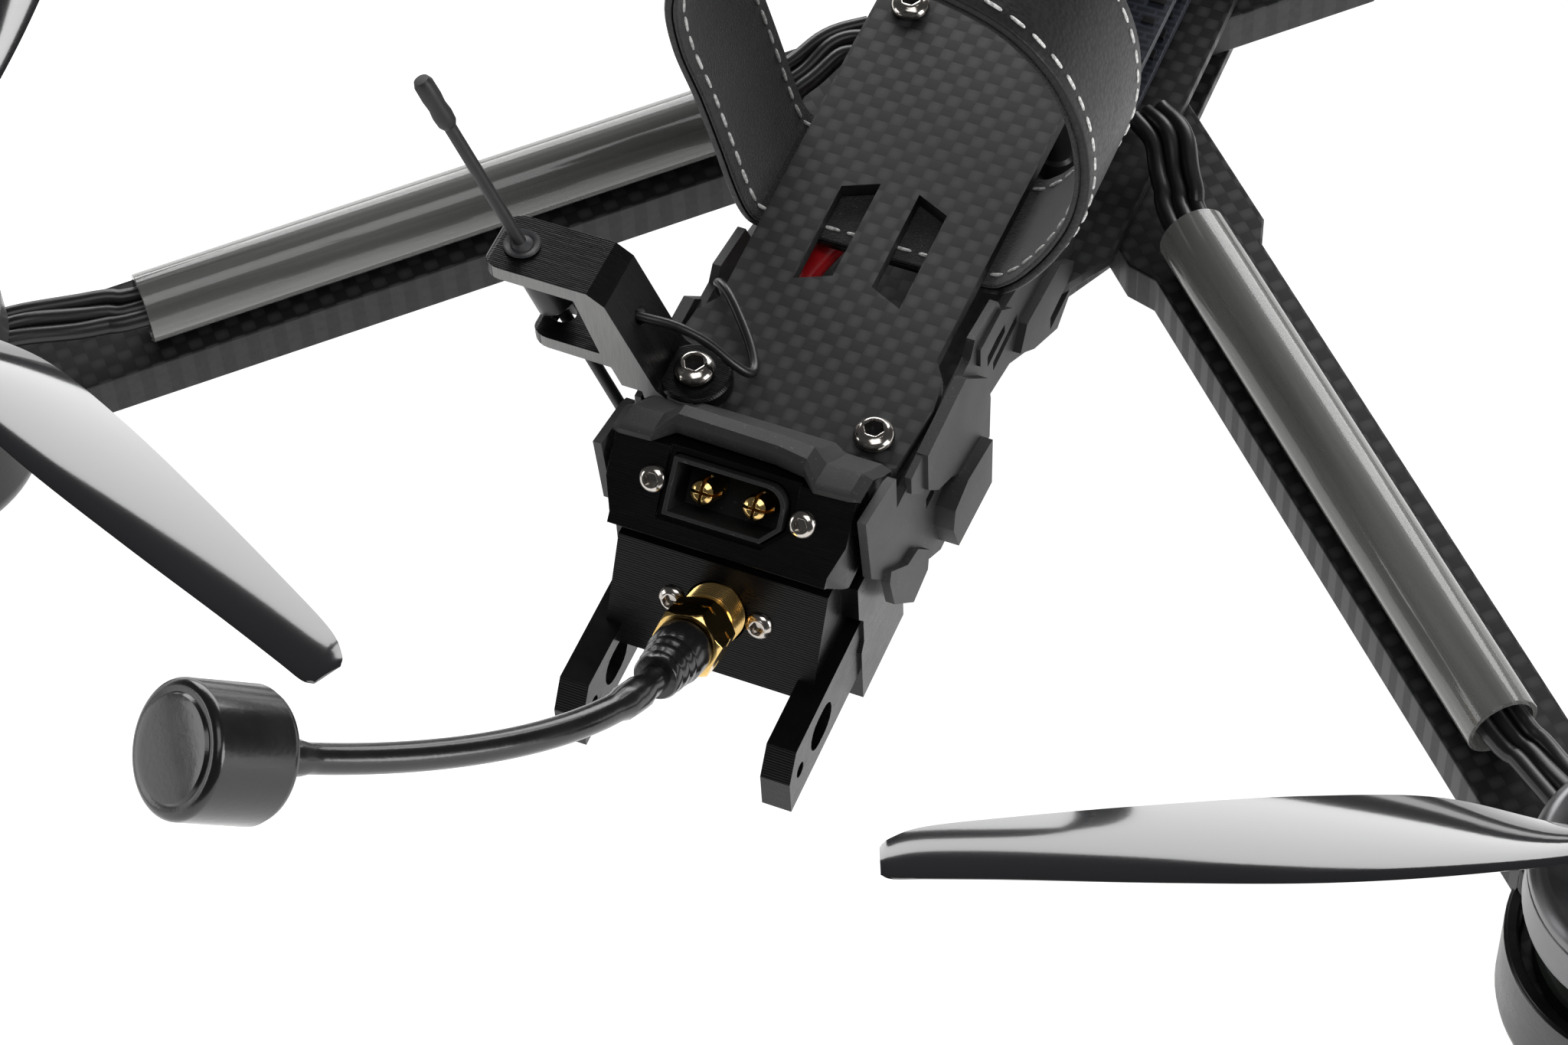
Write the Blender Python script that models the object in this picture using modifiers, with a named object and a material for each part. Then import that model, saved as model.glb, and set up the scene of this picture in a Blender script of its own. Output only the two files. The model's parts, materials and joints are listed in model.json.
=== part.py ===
"""Long-range quadcopter: carbon plates and arms, four motors, tail block, battery strap and antennas.

The origin is the crossing of the arms' centre lines on the underside of the belly plate.
+X is the aircraft's right, +Y its nose, +Z up.
"""
import math

import bmesh
import bpy
from mathutils import Matrix, Vector

MM = 0.001
GAP = 0.3 * MM              # clearance between pieces that touch
RUNNING_GAP = 0.4 * MM      # clearance round a turning shaft or pin

# carbon plates and arms, stacked from the belly up
PLATE = 2.0 * MM
ARM_THICKNESS = 7.0 * MM
BAY_HEIGHT = 22.8 * MM
BELLY_HALF_WIDTH = 24.0 * MM
BELLY_HALF_LENGTH = 46.0 * MM
DECK_TAIL_Y = -110.0 * MM
DECK_NOSE_Y = 94.0 * MM
DECK_TAIL_HALF_WIDTH = 14.4 * MM
DECK_WAIST_Y = 42.0 * MM
ROOF_HALF_WIDTH = 16.0 * MM
ROOF_TAIL_Y = -107.3 * MM
ROOF_NOSE_Y = 70.5 * MM
EAR_HALF_WIDTH = 18.0 * MM
SLOT_INNER_X = 2.8 * MM
SLOT_WIDTH = 4.8 * MM
SLOT_FRONT_Y = -61.3 * MM
SLOT_LENGTH = 17.3 * MM
SLOT_SLANT = 2.2 * MM

MOTOR_OFFSET = 124.5 * MM   # motor axis from the centre, along X and along Y
ARM_HALF_WIDTH = 8.3 * MM
ARM_ROOT_HALF_WIDTH = 10.6 * MM
ARM_START = 12.0 * MM
ARM_SHOULDER = 47.5 * MM    # the root is wide out to here
ARM_PAD_RADIUS = 16.2 * MM

# standoffs and their button-head screws
POST_RADIUS = 2.7 * MM
SCREW_RADIUS = 1.45 * MM
SCREW_HEAD_RADIUS = 2.8 * MM
SCREW_HEAD_HEIGHT = 1.7 * MM
SOCKET_RADIUS = 1.1 * MM
SOCKET_DEPTH = 1.0 * MM
REAR_POST = (12.5 * MM, -102.0 * MM)
MID_POST = (11.0 * MM, -29.5 * MM)

# motors, propellers and feet
BELL_RADIUS = 17.0 * MM
BELL_WALL = 1.8 * MM
BELL_LOW = 20.5 * MM
BELL_TOP = 31.5 * MM
BELL_SEAT_RADIUS = 6.5 * MM
BELL_SEAT = 1.5 * MM
SHAFT_RADIUS = 2.5 * MM
SHAFT_TOP = 47.0 * MM
STATOR_RADIUS = 13.8 * MM
MOTOR_FLANGE_RADIUS = 14.6 * MM
MOTOR_FLANGE = 3.6 * MM
MOTOR_NECK_RADIUS = 8.0 * MM
PROP_RADIUS = 95.0 * MM
PROP_HUB_RADIUS = 6.8 * MM
PROP_HUB_HEIGHT = 7.0 * MM
PROP_BLADES = 3
BLADE_PLANE = 3.6 * MM      # blade centre line above the underside of the hub
NUT_FLATS = 8.0 * MM
NUT_HEIGHT = 5.4 * MM
FOOT_BOTTOM = -5.0 * MM
FOOT_WALL = 1.8 * MM
FOOT_RIM = 14.0 * MM
# blade stations: share of the radius, chord, pitch angle in degrees, thickness, sweep of the middle
BLADE_STATIONS = (
    (0.055, 7.0 * MM, 34.0, 3.4 * MM, 0.0),
    (0.14, 10.5 * MM, 30.0, 2.6 * MM, 0.2 * MM),
    (0.28, 16.4 * MM, 23.0, 2.2 * MM, -1.5 * MM),
    (0.45, 16.4 * MM, 17.8, 1.8 * MM, -1.9 * MM),
    (0.65, 13.5 * MM, 13.5, 1.5 * MM, -2.2 * MM),
    (0.83, 10.4 * MM, 10.6, 1.2 * MM, -2.4 * MM),
    (0.94, 8.5 * MM, 9.2, 1.0 * MM, -2.3 * MM),
    (0.985, 6.6 * MM, 8.7, 0.9 * MM, -1.7 * MM),
    (1.0, 4.4 * MM, 8.7, 0.7 * MM, -1.4 * MM),
)

# clear sleeves over the motor wires
SLEEVE_RADIUS = 5.0 * MM
SLEEVE_WALL = 0.7 * MM
SLEEVE_START = 50.0 * MM
SLEEVE_END = 141.0 * MM
SLEEVE_OFFSET = 2.2 * MM    # towards the tail on the rear arms, towards the nose on the front ones
WIRE_RADIUS = 1.3 * MM
WIRE_SPACING = 2.3 * MM
WIRE_EXIT = (21.0 * MM, 20.0 * MM, 17.5 * MM)

# tail: the plug block, the antenna block below it and the cap above
PLUG_CENTRE = Vector((0.0, -120.6, 39.9)) * MM
PLUG_TILT = math.radians(41.0)      # rise of the plug's face from upright
PLUG_BLOCK_HALF_WIDTH = 16.5 * MM
PLUG_BLOCK_TOP = 43.4 * MM
PLUG_BLOCK_LOW = 30.0 * MM
PLUG_HALF_WIDTH = 7.9 * MM
PLUG_HALF_HEIGHT = 3.9 * MM
PLUG_WALL = 1.0 * MM
PLUG_DEPTH = 8.6 * MM
PLUG_FLOOR = 2.6 * MM
PLUG_RIM = 0.9 * MM
PLUG_SCREW_SPACING = 20.5 * MM
SMALL_HEAD_RADIUS = 1.75 * MM
SMALL_HEAD_HEIGHT = 1.3 * MM
PIN_RADIUS = 1.75 * MM
PIN_SPACING = 7.2 * MM
JACK_CENTRE = Vector((0.0, -126.5, 23.6)) * MM
JACK_TILT = math.radians(27.0)
JACK_SCREW_SPACING = 12.2 * MM
JACK_RADIUS = 4.1 * MM
JACK_DEPTH = 7.0 * MM
JACK_LENGTH = 4.6 * MM
JACK_NUT_FLATS = 8.6 * MM
JACK_NUT_HEIGHT = 5.6 * MM
BLOCK_HALF_WIDTH = 14.6 * MM
BLOCK_TOP = PLUG_BLOCK_LOW - GAP
STRUT_INNER_X = 12.4 * MM
STRUT_OUTER_X = 16.5 * MM
STRUT_LOW = 8.3 * MM
STRUT_HIGH = 18.3 * MM
STRUT_END_Y = -142.3 * MM
STRUT_HOLE_Y = -131.5 * MM
FIN_INNER_X = 14.9 * MM
FIN_OUTER_X = 17.0 * MM
FIN_REAR_Y = -119.0 * MM
FIN_FRONT_Y = -104.5 * MM
FIN_LOW = 3.0 * MM
FIN_HIGH = 27.5 * MM
CAP_THICKNESS = 1.8 * MM
CAP_HALF_WIDTH = 17.2 * MM

# video antenna: boot, formed stalk and round head
STALK_RADIUS = 1.9 * MM
BOOT_RADIUS = 3.3 * MM
BOOT_LENGTH = 9.5 * MM
ANTENNA_HEAD_CENTRE = Vector((-30.7, -194.0, 68.5)) * MM
ANTENNA_HEAD_AXIS = Vector((-0.494, -0.575, 0.645)).normalized()
ANTENNA_HEAD_RADIUS = 8.25 * MM
ANTENNA_HEAD_LENGTH = 13.0 * MM

# receiver antenna and its mount over the rear left screw
MOUNT_FOOT = 2.2 * MM
MOUNT_FOOT_RADIUS = 5.0 * MM
MOUNT_DEPTH = 9.4 * MM
MOUNT_PRONG = 2.2 * MM
UPPER_PRONG_TOP = 54.6 * MM
LOWER_PRONG_TOP = 43.2 * MM
DIPOLE_RADIUS = 0.85 * MM
DIPOLE_CENTRE = Vector((-32.2, -102.0, 46.4)) * MM
DIPOLE_AXIS = Vector((-0.39, 0.0, 0.921)).normalized()
DIPOLE_UP = 38.0 * MM
DIPOLE_DOWN = 24.4 * MM
DIPOLE_SLEEVE_RADIUS = 1.35 * MM
DIPOLE_SLEEVE = 8.0 * MM
COAX_RADIUS = 0.65 * MM
COAX_ROUTE = (
    (-27.3, -102.0, 46.7), (-23.0, -102.0, 47.0), (-19.0, -102.0, 47.1), (-15.2, -101.0, 45.9),
    (-11.4, -99.6, 43.6), (-7.6, -98.6, 41.0), (-5.4, -97.2, 38.7), (-5.6, -95.2, 37.6),
    (-7.6, -93.0, 37.6), (-10.8, -90.0, 37.9), (-14.0, -87.6, 38.2), (-16.1, -85.8, 37.4),
    (-16.4, -84.9, 35.4), (-16.1, -84.1, 33.0), (-13.6, -82.6, 30.4),
)

# side panels
PANEL_INNER_X = 17.5 * MM
PANEL_WALL = 1.2 * MM
RELIEF_X = 18.4 * MM
PANEL_OUTLINE = (
    (-118.8, 30.0), (-120.0, 43.0), (-111.5, 41.0), (-109.8, 40.0), (-109.8, 34.0), (-83.6, 34.0),
    (-82.0, 36.0), (-73.5, 34.4), (-71.8, 30.5), (-60.0, 27.5), (-46.0, 22.0), (-43.0, 15.0), (-44.0, 6.0),
    (-50.0, 3.5), (-62.8, 11.6), (-69.0, 16.2), (-76.5, 18.2), (-80.0, 12.0), (-84.0, 6.5), (-95.0, 6.5),
    (-98.8, 9.3), (-112.3, 21.7),
)
# outer face of each relief, then its outline
PANEL_RELIEFS = (
    (20.0 * MM, ((-102.2, 29.0), (-102.2, 36.2), (-88.6, 36.2), (-80.5, 27.0), (-79.5, 21.7), (-79.9, 13.7),
                 (-88.6, 16.7), (-94.0, 21.9), (-98.7, 24.8))),
    (21.3 * MM, ((-97.5, 15.1), (-96.8, 18.6), (-91.9, 19.6), (-82.9, 17.4), (-83.2, 8.4), (-95.7, 9.6))),
    (19.7 * MM, ((-113.8, 18.6), (-115.2, 24.9), (-114.6, 26.8), (-109.0, 21.2), (-105.4, 20.1),
                 (-101.4, 15.0), (-102.1, 11.5), (-107.3, 10.7))),
    (19.9 * MM, ((-67.8, 17.5), (-65.3, 21.0), (-52.3, 19.2), (-46.7, 13.8), (-47.1, 8.6), (-53.0, 6.2),
                 (-62.4, 12.4))),
)
# two vents, then the gap that lets the wide part of the mid plate through: rear, front, low, high
PANEL_SLITS = ((-77.3, -70.8, 25.1, 27.2), (-75.2, -66.2, 21.9, 23.7), (-56.0, -40.0, 9.3, 11.9))

# battery strap: a closed band round the roof plate, seen along Y
STRAP_WIDTH = 20.0 * MM
STRAP_THICKNESS = 2.2 * MM
STRAP_REAR_Y = -71.0 * MM
STRAP_LOOP = (
    (0.0, 32.9), (12.0, 32.9), (16.6, 33.0), (18.8, 34.3), (21.6, 37.6), (25.2, 44.0), (28.0, 51.5), (29.1, 60.0),
    (28.0, 69.0), (24.4, 77.2), (18.0, 83.4), (9.0, 86.6), (0.0, 87.4), (-10.0, 86.6), (-19.0, 83.4),
    (-25.0, 77.6), (-27.4, 71.0), (-26.8, 63.0), (-24.2, 54.5), (-22.0, 46.0), (-20.2, 38.6),
    (-18.6, 34.3), (-16.6, 33.0), (-12.0, 32.9),
)

# electronics and leads in the bay
BOARD = 38.0 * MM
BOARD_THICKNESS = 1.6 * MM
BOARD_HOLE = 15.25 * MM
BOARD_LEG_RADIUS = 1.7 * MM
ESC_LEG = 3.0 * MM
FC_LEG = 5.0 * MM
LEAD_RADIUS = 1.8 * MM
LEAD_X = 4.4 * MM
LEAD_ROUTE = (
    (-111.0, 31.8), (-108.0, 31.8), (-104.8, 31.8), (-98.0, 29.6), (-88.0, 27.4), (-72.0, 27.0), (-50.0, 26.2),
    (-34.0, 22.6), (-26.0, 18.4), (-19.6, 17.4),
)

# nose camera and its cradle
CAMERA_PIVOT_Y = 82.0 * MM
CAMERA_PIVOT_Z = 24.0 * MM
CAMERA_SIZE = 19.0 * MM
CAMERA_CHAMFER = 4.5 * MM
LENS_RADIUS = 6.0 * MM
LENS_LENGTH = 8.5 * MM
CHEEK_INNER_X = 10.0 * MM
CHEEK_WALL = 2.6 * MM
CHEEK_FRONT_Y = 89.0 * MM
CRADLE_BACK_Y = 64.5 * MM
CRADLE_WALL = 3.0 * MM
TILT_PIN_RADIUS = 1.0 * MM
TILT_HEAD_RADIUS = 2.0 * MM

# heights that follow from the stack
ARM_LOW = PLATE + GAP
ARM_TOP = ARM_LOW + ARM_THICKNESS
DECK_LOW = ARM_TOP + GAP
DECK_TOP = DECK_LOW + PLATE
ROOF_LOW = DECK_TOP + BAY_HEIGHT
ROOF_TOP = ROOF_LOW + PLATE
HUB_LOW = BELL_TOP + BELL_SEAT + GAP

# colour, roughness and metallic value of each finish
FINISHES = {
    "carbon": ((0.018, 0.018, 0.02), 0.45, 0.0),
    "moulded_plastic": ((0.035, 0.035, 0.037), 0.7, 0.0),
    "printed_plastic": ((0.008, 0.008, 0.009), 0.25, 0.0),
    "motor_alloy": ((0.16, 0.16, 0.17), 0.35, 0.9),
    "motor_core": ((0.05, 0.045, 0.04), 0.6, 0.3),
    "propeller_plastic": ((0.03, 0.03, 0.034), 0.12, 0.0),
    "steel": ((0.6, 0.58, 0.56), 0.22, 1.0),
    "black_alloy": ((0.02, 0.02, 0.022), 0.35, 0.6),
    "clear_sleeve": ((0.45, 0.46, 0.46), 0.15, 0.0),
    "wire_black": ((0.01, 0.01, 0.01), 0.4, 0.0),
    "wire_red": ((0.6, 0.01, 0.015), 0.35, 0.0),
    "gold": ((0.85, 0.6, 0.22), 0.2, 1.0),
    "leather": ((0.02, 0.02, 0.021), 0.55, 0.0),
    "board": ((0.02, 0.02, 0.03), 0.5, 0.0),
    "rubber": ((0.012, 0.012, 0.012), 0.6, 0.0),
}


def clear_scene():
    for obj in list(bpy.data.objects):
        bpy.data.objects.remove(obj)


def make_collection(name):
    collection = bpy.data.collections.new(name)
    bpy.context.scene.collection.children.link(collection)
    return collection


def make_materials():
    materials = {}
    for name, (colour, roughness, metallic) in FINISHES.items():
        material = bpy.data.materials.new(name)
        material.use_nodes = True
        shader = material.node_tree.nodes["Principled BSDF"]
        shader.inputs["Base Color"].default_value = (*colour, 1.0)
        shader.inputs["Roughness"].default_value = roughness
        shader.inputs["Metallic"].default_value = metallic
        materials[name] = material
    return materials


clear_scene()
parts = make_collection("quadcopter")
workshop = make_collection("workshop")
materials = make_materials()


def place(name, mesh):
    obj = bpy.data.objects.new(name, mesh)
    workshop.objects.link(obj)
    return obj


def from_bmesh(name, shape):
    mesh = bpy.data.meshes.new(name)
    shape.to_mesh(mesh)
    shape.free()
    return place(name, mesh)


def baked(obj):
    """Replace an object's curve or modifiers by the plain mesh that they make."""
    graph = bpy.context.evaluated_depsgraph_get()
    mesh = bpy.data.meshes.new_from_object(obj.evaluated_get(graph))
    mesh.transform(obj.matrix_world)
    shape = bmesh.new()
    shape.from_mesh(mesh)
    bmesh.ops.remove_doubles(shape, verts=shape.verts, dist=0.00001)
    bmesh.ops.recalc_face_normals(shape, faces=shape.faces)
    shape.to_mesh(mesh)
    shape.free()
    name = obj.name
    bpy.data.objects.remove(obj)
    return place(name, mesh)


def carve(base, join=(), cut=()):
    """Unite a solid with some others, cut more of them away, and keep the result as a plain mesh."""
    for operation, operands in (("UNION", join), ("DIFFERENCE", cut)):
        for operand in operands:
            modifier = base.modifiers.new(operation.lower(), "BOOLEAN")
            modifier.operation = operation
            modifier.object = operand
    bpy.context.view_layer.update()
    result = baked(base)
    for operand in (*join, *cut):
        bpy.data.objects.remove(operand)
    return result


def box(low, high):
    shape = bmesh.new()
    bmesh.ops.create_cube(shape, size=1.0)
    low, high = Vector(low), Vector(high)
    size = high - low
    bmesh.ops.scale(shape, vec=size, verts=shape.verts)
    bmesh.ops.translate(shape, vec=(low + high) / 2, verts=shape.verts)
    return from_bmesh("box", shape)


def cylinder(start, end, radius, end_radius=None, sides=20):
    start, end = Vector(start), Vector(end)
    axis = end - start
    shape = bmesh.new()
    bmesh.ops.create_cone(shape, cap_ends=True, segments=sides, radius1=radius,
                          radius2=radius if end_radius is None else end_radius, depth=axis.length)
    turn = Vector((0, 0, 1)).rotation_difference(axis).to_matrix().to_4x4()
    bmesh.ops.transform(shape, matrix=Matrix.Translation((start + end) / 2) @ turn, verts=shape.verts)
    return from_bmesh("cylinder", shape)


def prism(outline, low, high, matrix=None):
    """A flat outline in the local XY plane, raised from low to high along the local Z."""
    curve = bpy.data.curves.new("outline", "CURVE")
    curve.dimensions = "2D"
    curve.fill_mode = "BOTH"
    curve.extrude = (high - low) / 2
    spline = curve.splines.new("POLY")
    spline.points.add(len(outline) - 1)
    for point, (x, y) in zip(spline.points, outline):
        point.co = (x, y, 0.0, 1.0)
    spline.use_cyclic_u = True
    obj = place("prism", curve)
    obj.matrix_world = (matrix or Matrix()) @ Matrix.Translation((0, 0, (low + high) / 2))
    bpy.context.view_layer.update()
    return baked(obj)


def tube(points, radius, resolution=2):
    curve = bpy.data.curves.new("route", "CURVE")
    curve.dimensions = "3D"
    curve.bevel_depth = radius
    curve.bevel_resolution = resolution
    curve.use_fill_caps = True
    spline = curve.splines.new("POLY")
    spline.points.add(len(points) - 1)
    for point, place_m in zip(spline.points, points):
        point.co = (*place_m, 1.0)
    obj = place("tube", curve)
    bpy.context.view_layer.update()
    return baked(obj)


def turned(profile, steps=20, closed=False):
    """Turn a profile of (radius, height) points round the Z axis."""
    mesh = bpy.data.meshes.new("profile")
    edges = [(i, i + 1) for i in range(len(profile) - 1)]
    if closed:
        edges.append((len(profile) - 1, 0))
    mesh.from_pydata([(radius, 0.0, height) for radius, height in profile], edges, [])
    obj = place("turned", mesh)
    screw = obj.modifiers.new("turn", "SCREW")
    screw.steps = steps
    screw.render_steps = steps
    screw.use_merge_vertices = True
    screw.merge_threshold = 0.00001
    bpy.context.view_layer.update()
    return baked(obj)


def smooth_route(points, per_span):
    """Points along a Catmull-Rom curve through the given ones."""
    points = [Vector(point) for point in points]
    ends = [points[0] * 2 - points[1], *points, points[-1] * 2 - points[-2]]
    route = []
    for i in range(1, len(ends) - 2):
        a, b, c, d = ends[i - 1:i + 3]
        for step in range(per_span):
            t = step / per_span
            route.append(0.5 * (2 * b + (c - a) * t + (2 * a - 5 * b + 4 * c - d) * t ** 2
                                + (3 * b - a - 3 * c + d) * t ** 3))
    route.append(points[-1])
    return route


def mirrored_outline(half):
    """Close an outline from its right half, given from tail to nose."""
    return [*half, *[(-x, y) for x, y in reversed(half)]]


def tilted_frame(centre, tilt):
    """Local X across, Y up along a face and Z out of it, for a tail face leaning forward by tilt."""
    up = Vector((0.0, math.sin(tilt), math.cos(tilt)))
    out = Vector((0.0, -math.cos(tilt), math.sin(tilt)))
    rotation = Matrix((Vector((1, 0, 0)), up, out)).transposed().to_4x4()
    return Matrix.Translation(centre) @ rotation


def finish(obj, name, finish_name, parent=None, flat_angle=35.0):
    obj.name = name
    obj.data.name = name
    obj.data.materials.clear()
    obj.data.materials.append(materials[finish_name])
    obj.data.shade_smooth()
    obj.data.set_sharp_from_angle(angle=math.radians(flat_angle))
    workshop.objects.unlink(obj)
    parts.objects.link(obj)
    if parent is not None:
        obj.parent = parent
    return obj


def axis_empty(name, location):
    empty = bpy.data.objects.new(name, None)
    empty.location = location
    parts.objects.link(empty)
    return empty


def screw_head(centre, direction, radius, height):
    """A button head standing on a surface, with its socket left open."""
    centre, direction = Vector(centre), Vector(direction).normalized()
    head = cylinder(centre, centre + direction * height, radius, radius * 0.62)
    share = radius / SCREW_HEAD_RADIUS
    socket = cylinder(centre + direction * (height - SOCKET_DEPTH * share), centre + direction * height * 2,
                      SOCKET_RADIUS * share, sides=6)
    return carve(head, cut=[socket])


def make_plates():
    wide, long = BELLY_HALF_WIDTH, BELLY_HALF_LENGTH
    belly = [(wide * 0.66, -long), (wide, -long * 0.65), (wide, long * 0.65), (wide * 0.66, long)]
    finish(prism(mirrored_outline(belly), 0, PLATE), "belly_plate", "carbon")

    deck = [(DECK_TAIL_HALF_WIDTH, DECK_TAIL_Y), (DECK_TAIL_HALF_WIDTH, -DECK_WAIST_Y - 16 * MM),
            (BELLY_HALF_WIDTH, -DECK_WAIST_Y), (BELLY_HALF_WIDTH, DECK_WAIST_Y),
            (DECK_TAIL_HALF_WIDTH, DECK_WAIST_Y + 16 * MM), (DECK_TAIL_HALF_WIDTH, DECK_NOSE_Y)]
    finish(prism(mirrored_outline(deck), DECK_LOW, DECK_TOP), "mid_plate", "carbon")

    ear_y = REAR_POST[1] + 6.8 * MM
    roof = [(14.8 * MM, ROOF_TAIL_Y), (EAR_HALF_WIDTH - MM, ROOF_TAIL_Y + 1.8 * MM),
            (EAR_HALF_WIDTH, ear_y), (EAR_HALF_WIDTH - 0.6 * MM, ear_y + 5 * MM),
            (ROOF_HALF_WIDTH - 0.6 * MM, ear_y + 8 * MM), (ROOF_HALF_WIDTH, -40 * MM),
            (ROOF_HALF_WIDTH, ROOF_NOSE_Y - 9 * MM), (ROOF_HALF_WIDTH - 2.5 * MM, ROOF_NOSE_Y)]
    plate = prism(mirrored_outline(roof), ROOF_LOW, ROOF_TOP)
    cuts = []
    for side in (-1, 1):
        inner, outer = side * SLOT_INNER_X, side * (SLOT_INNER_X + SLOT_WIDTH)
        rear = SLOT_FRONT_Y - SLOT_LENGTH
        slot = [(inner, SLOT_FRONT_Y), (outer, SLOT_FRONT_Y - SLOT_SLANT), (outer, rear - SLOT_SLANT),
                (inner, rear)]
        cuts.append(prism(slot, ROOF_LOW - MM, ROOF_TOP + MM))
        for x, y in (REAR_POST, MID_POST, cradle_post()):
            cuts.append(cylinder((side * x, y, ROOF_LOW - MM), (side * x, y, ROOF_TOP + MM),
                                 SCREW_RADIUS + GAP, sides=12))
    finish(carve(plate, cut=cuts), "top_plate", "carbon")


def cradle_post():
    return CHEEK_INNER_X + CHEEK_WALL / 2, ROOF_NOSE_Y - 3.6 * MM


def corners():
    """Name, sign along X and sign along Y of each motor."""
    return (("rear_right", 1, -1), ("rear_left", -1, -1), ("front_right", 1, 1), ("front_left", -1, 1))


def arm_frame(side, end):
    """Local X out along an arm, local Y towards its nose or tail side, Z up."""
    out = Vector((side, end, 0)).normalized()
    across = Vector((-side, end, 0)).normalized()
    rotation = Matrix((out, across, out.cross(across))).transposed().to_4x4()
    return rotation


def make_arms():
    length = MOTOR_OFFSET * math.sqrt(2)
    half = [(ARM_START, ARM_ROOT_HALF_WIDTH * 0.4), (ARM_START + 6 * MM, ARM_ROOT_HALF_WIDTH),
            (ARM_SHOULDER, ARM_ROOT_HALF_WIDTH), (ARM_SHOULDER + 4 * MM, ARM_HALF_WIDTH)]
    meet = math.asin(ARM_HALF_WIDTH / ARM_PAD_RADIUS)
    steps = 12
    for i in range(steps + 1):
        angle = math.pi - meet - i * (math.pi - meet) / steps
        half.append((length + ARM_PAD_RADIUS * math.cos(angle), ARM_PAD_RADIUS * math.sin(angle)))
    outline = [*half, *[(x, -y) for x, y in reversed(half[:-1])]]
    for name, side, end in corners():
        matrix = arm_frame(side, end)
        low, high = ARM_LOW, ARM_TOP
        if matrix[2][2] < 0:
            low, high = -ARM_TOP, -ARM_LOW
        finish(prism(outline, low, high, matrix), f"arm_{name}", "carbon")


def make_motors():
    inner = BELL_RADIUS - BELL_WALL
    bell = turned([(0, SHAFT_TOP), (SHAFT_RADIUS, SHAFT_TOP), (SHAFT_RADIUS, BELL_TOP + BELL_SEAT),
                   (BELL_SEAT_RADIUS, BELL_TOP + BELL_SEAT), (BELL_SEAT_RADIUS, BELL_TOP),
                   (BELL_RADIUS - 1.8 * MM, BELL_TOP), (BELL_RADIUS, BELL_TOP - 1.6 * MM),
                   (BELL_RADIUS, BELL_LOW), (inner, BELL_LOW), (inner, BELL_TOP - 2 * MM),
                   (SHAFT_RADIUS, BELL_TOP - 2 * MM), (SHAFT_RADIUS, ARM_TOP + 5 * MM),
                   (0, ARM_TOP + 5 * MM)], steps=20)
    bore = SHAFT_RADIUS + RUNNING_GAP
    flange_top = ARM_TOP + GAP + MOTOR_FLANGE
    base = turned([(bore, BELL_TOP - 4 * MM), (STATOR_RADIUS, BELL_TOP - 4 * MM),
                   (STATOR_RADIUS, BELL_LOW + MM), (MOTOR_NECK_RADIUS, BELL_LOW + MM),
                   (MOTOR_NECK_RADIUS, flange_top), (MOTOR_FLANGE_RADIUS, flange_top),
                   (MOTOR_FLANGE_RADIUS, ARM_TOP + GAP), (bore, ARM_TOP + GAP)], steps=20, closed=True)
    nut_low = HUB_LOW + PROP_HUB_HEIGHT + GAP
    nut_radius = NUT_FLATS / math.sqrt(3)
    nut = carve(cylinder((0, 0, nut_low), (0, 0, nut_low + NUT_HEIGHT), nut_radius, sides=6),
                cut=[cylinder((0, 0, nut_low - MM), (0, 0, nut_low + NUT_HEIGHT + MM),
                              SHAFT_RADIUS + GAP, sides=16)])
    for name, side, end in corners():
        centre = (side * MOTOR_OFFSET, end * MOTOR_OFFSET, 0)
        axis = axis_empty(f"rotor_axis_{name}", centre)
        stand = place("base", base.data.copy())
        stand.location = centre
        finish(stand, f"motor_base_{name}", "motor_core")
        finish(place("bell", bell.data.copy()), f"motor_bell_{name}", "motor_alloy", axis)
        finish(place("nut", nut.data.copy()), f"propeller_nut_{name}", "black_alloy", axis)
        blades = make_propeller(1 if side * end < 0 else -1)
        prop = finish(blades, f"propeller_{name}", "propeller_plastic", axis)
        prop.rotation_euler.z = propeller_angle(side, end)
    for pattern in (bell, base, nut):
        bpy.data.objects.remove(pattern)


def propeller_angle(side, end):
    """Rest angle of each propeller: one blade points inward behind the tail, or ahead of the nose."""
    inward = math.radians(180 + 24 if side > 0 else -23.6)
    return inward if end < 0 else -inward


def make_propeller(spin):
    """Three swept blades on a round hub; spin is 1 for counter-clockwise seen from above."""
    hub = cylinder((0, 0, HUB_LOW), (0, 0, HUB_LOW + PROP_HUB_HEIGHT), PROP_HUB_RADIUS, sides=24)
    blades = []
    for blade in range(PROP_BLADES):
        turn = Matrix.Rotation(2 * math.pi * blade / PROP_BLADES, 4, "Z")
        lift = Matrix.Translation((0, 0, HUB_LOW + BLADE_PLANE))
        blades.append(blade_solid(spin, turn @ lift))
    bore = cylinder((0, 0, HUB_LOW - MM), (0, 0, HUB_LOW + PROP_HUB_HEIGHT + MM), SHAFT_RADIUS + GAP)
    return carve(hub, join=blades, cut=[bore])


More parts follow.
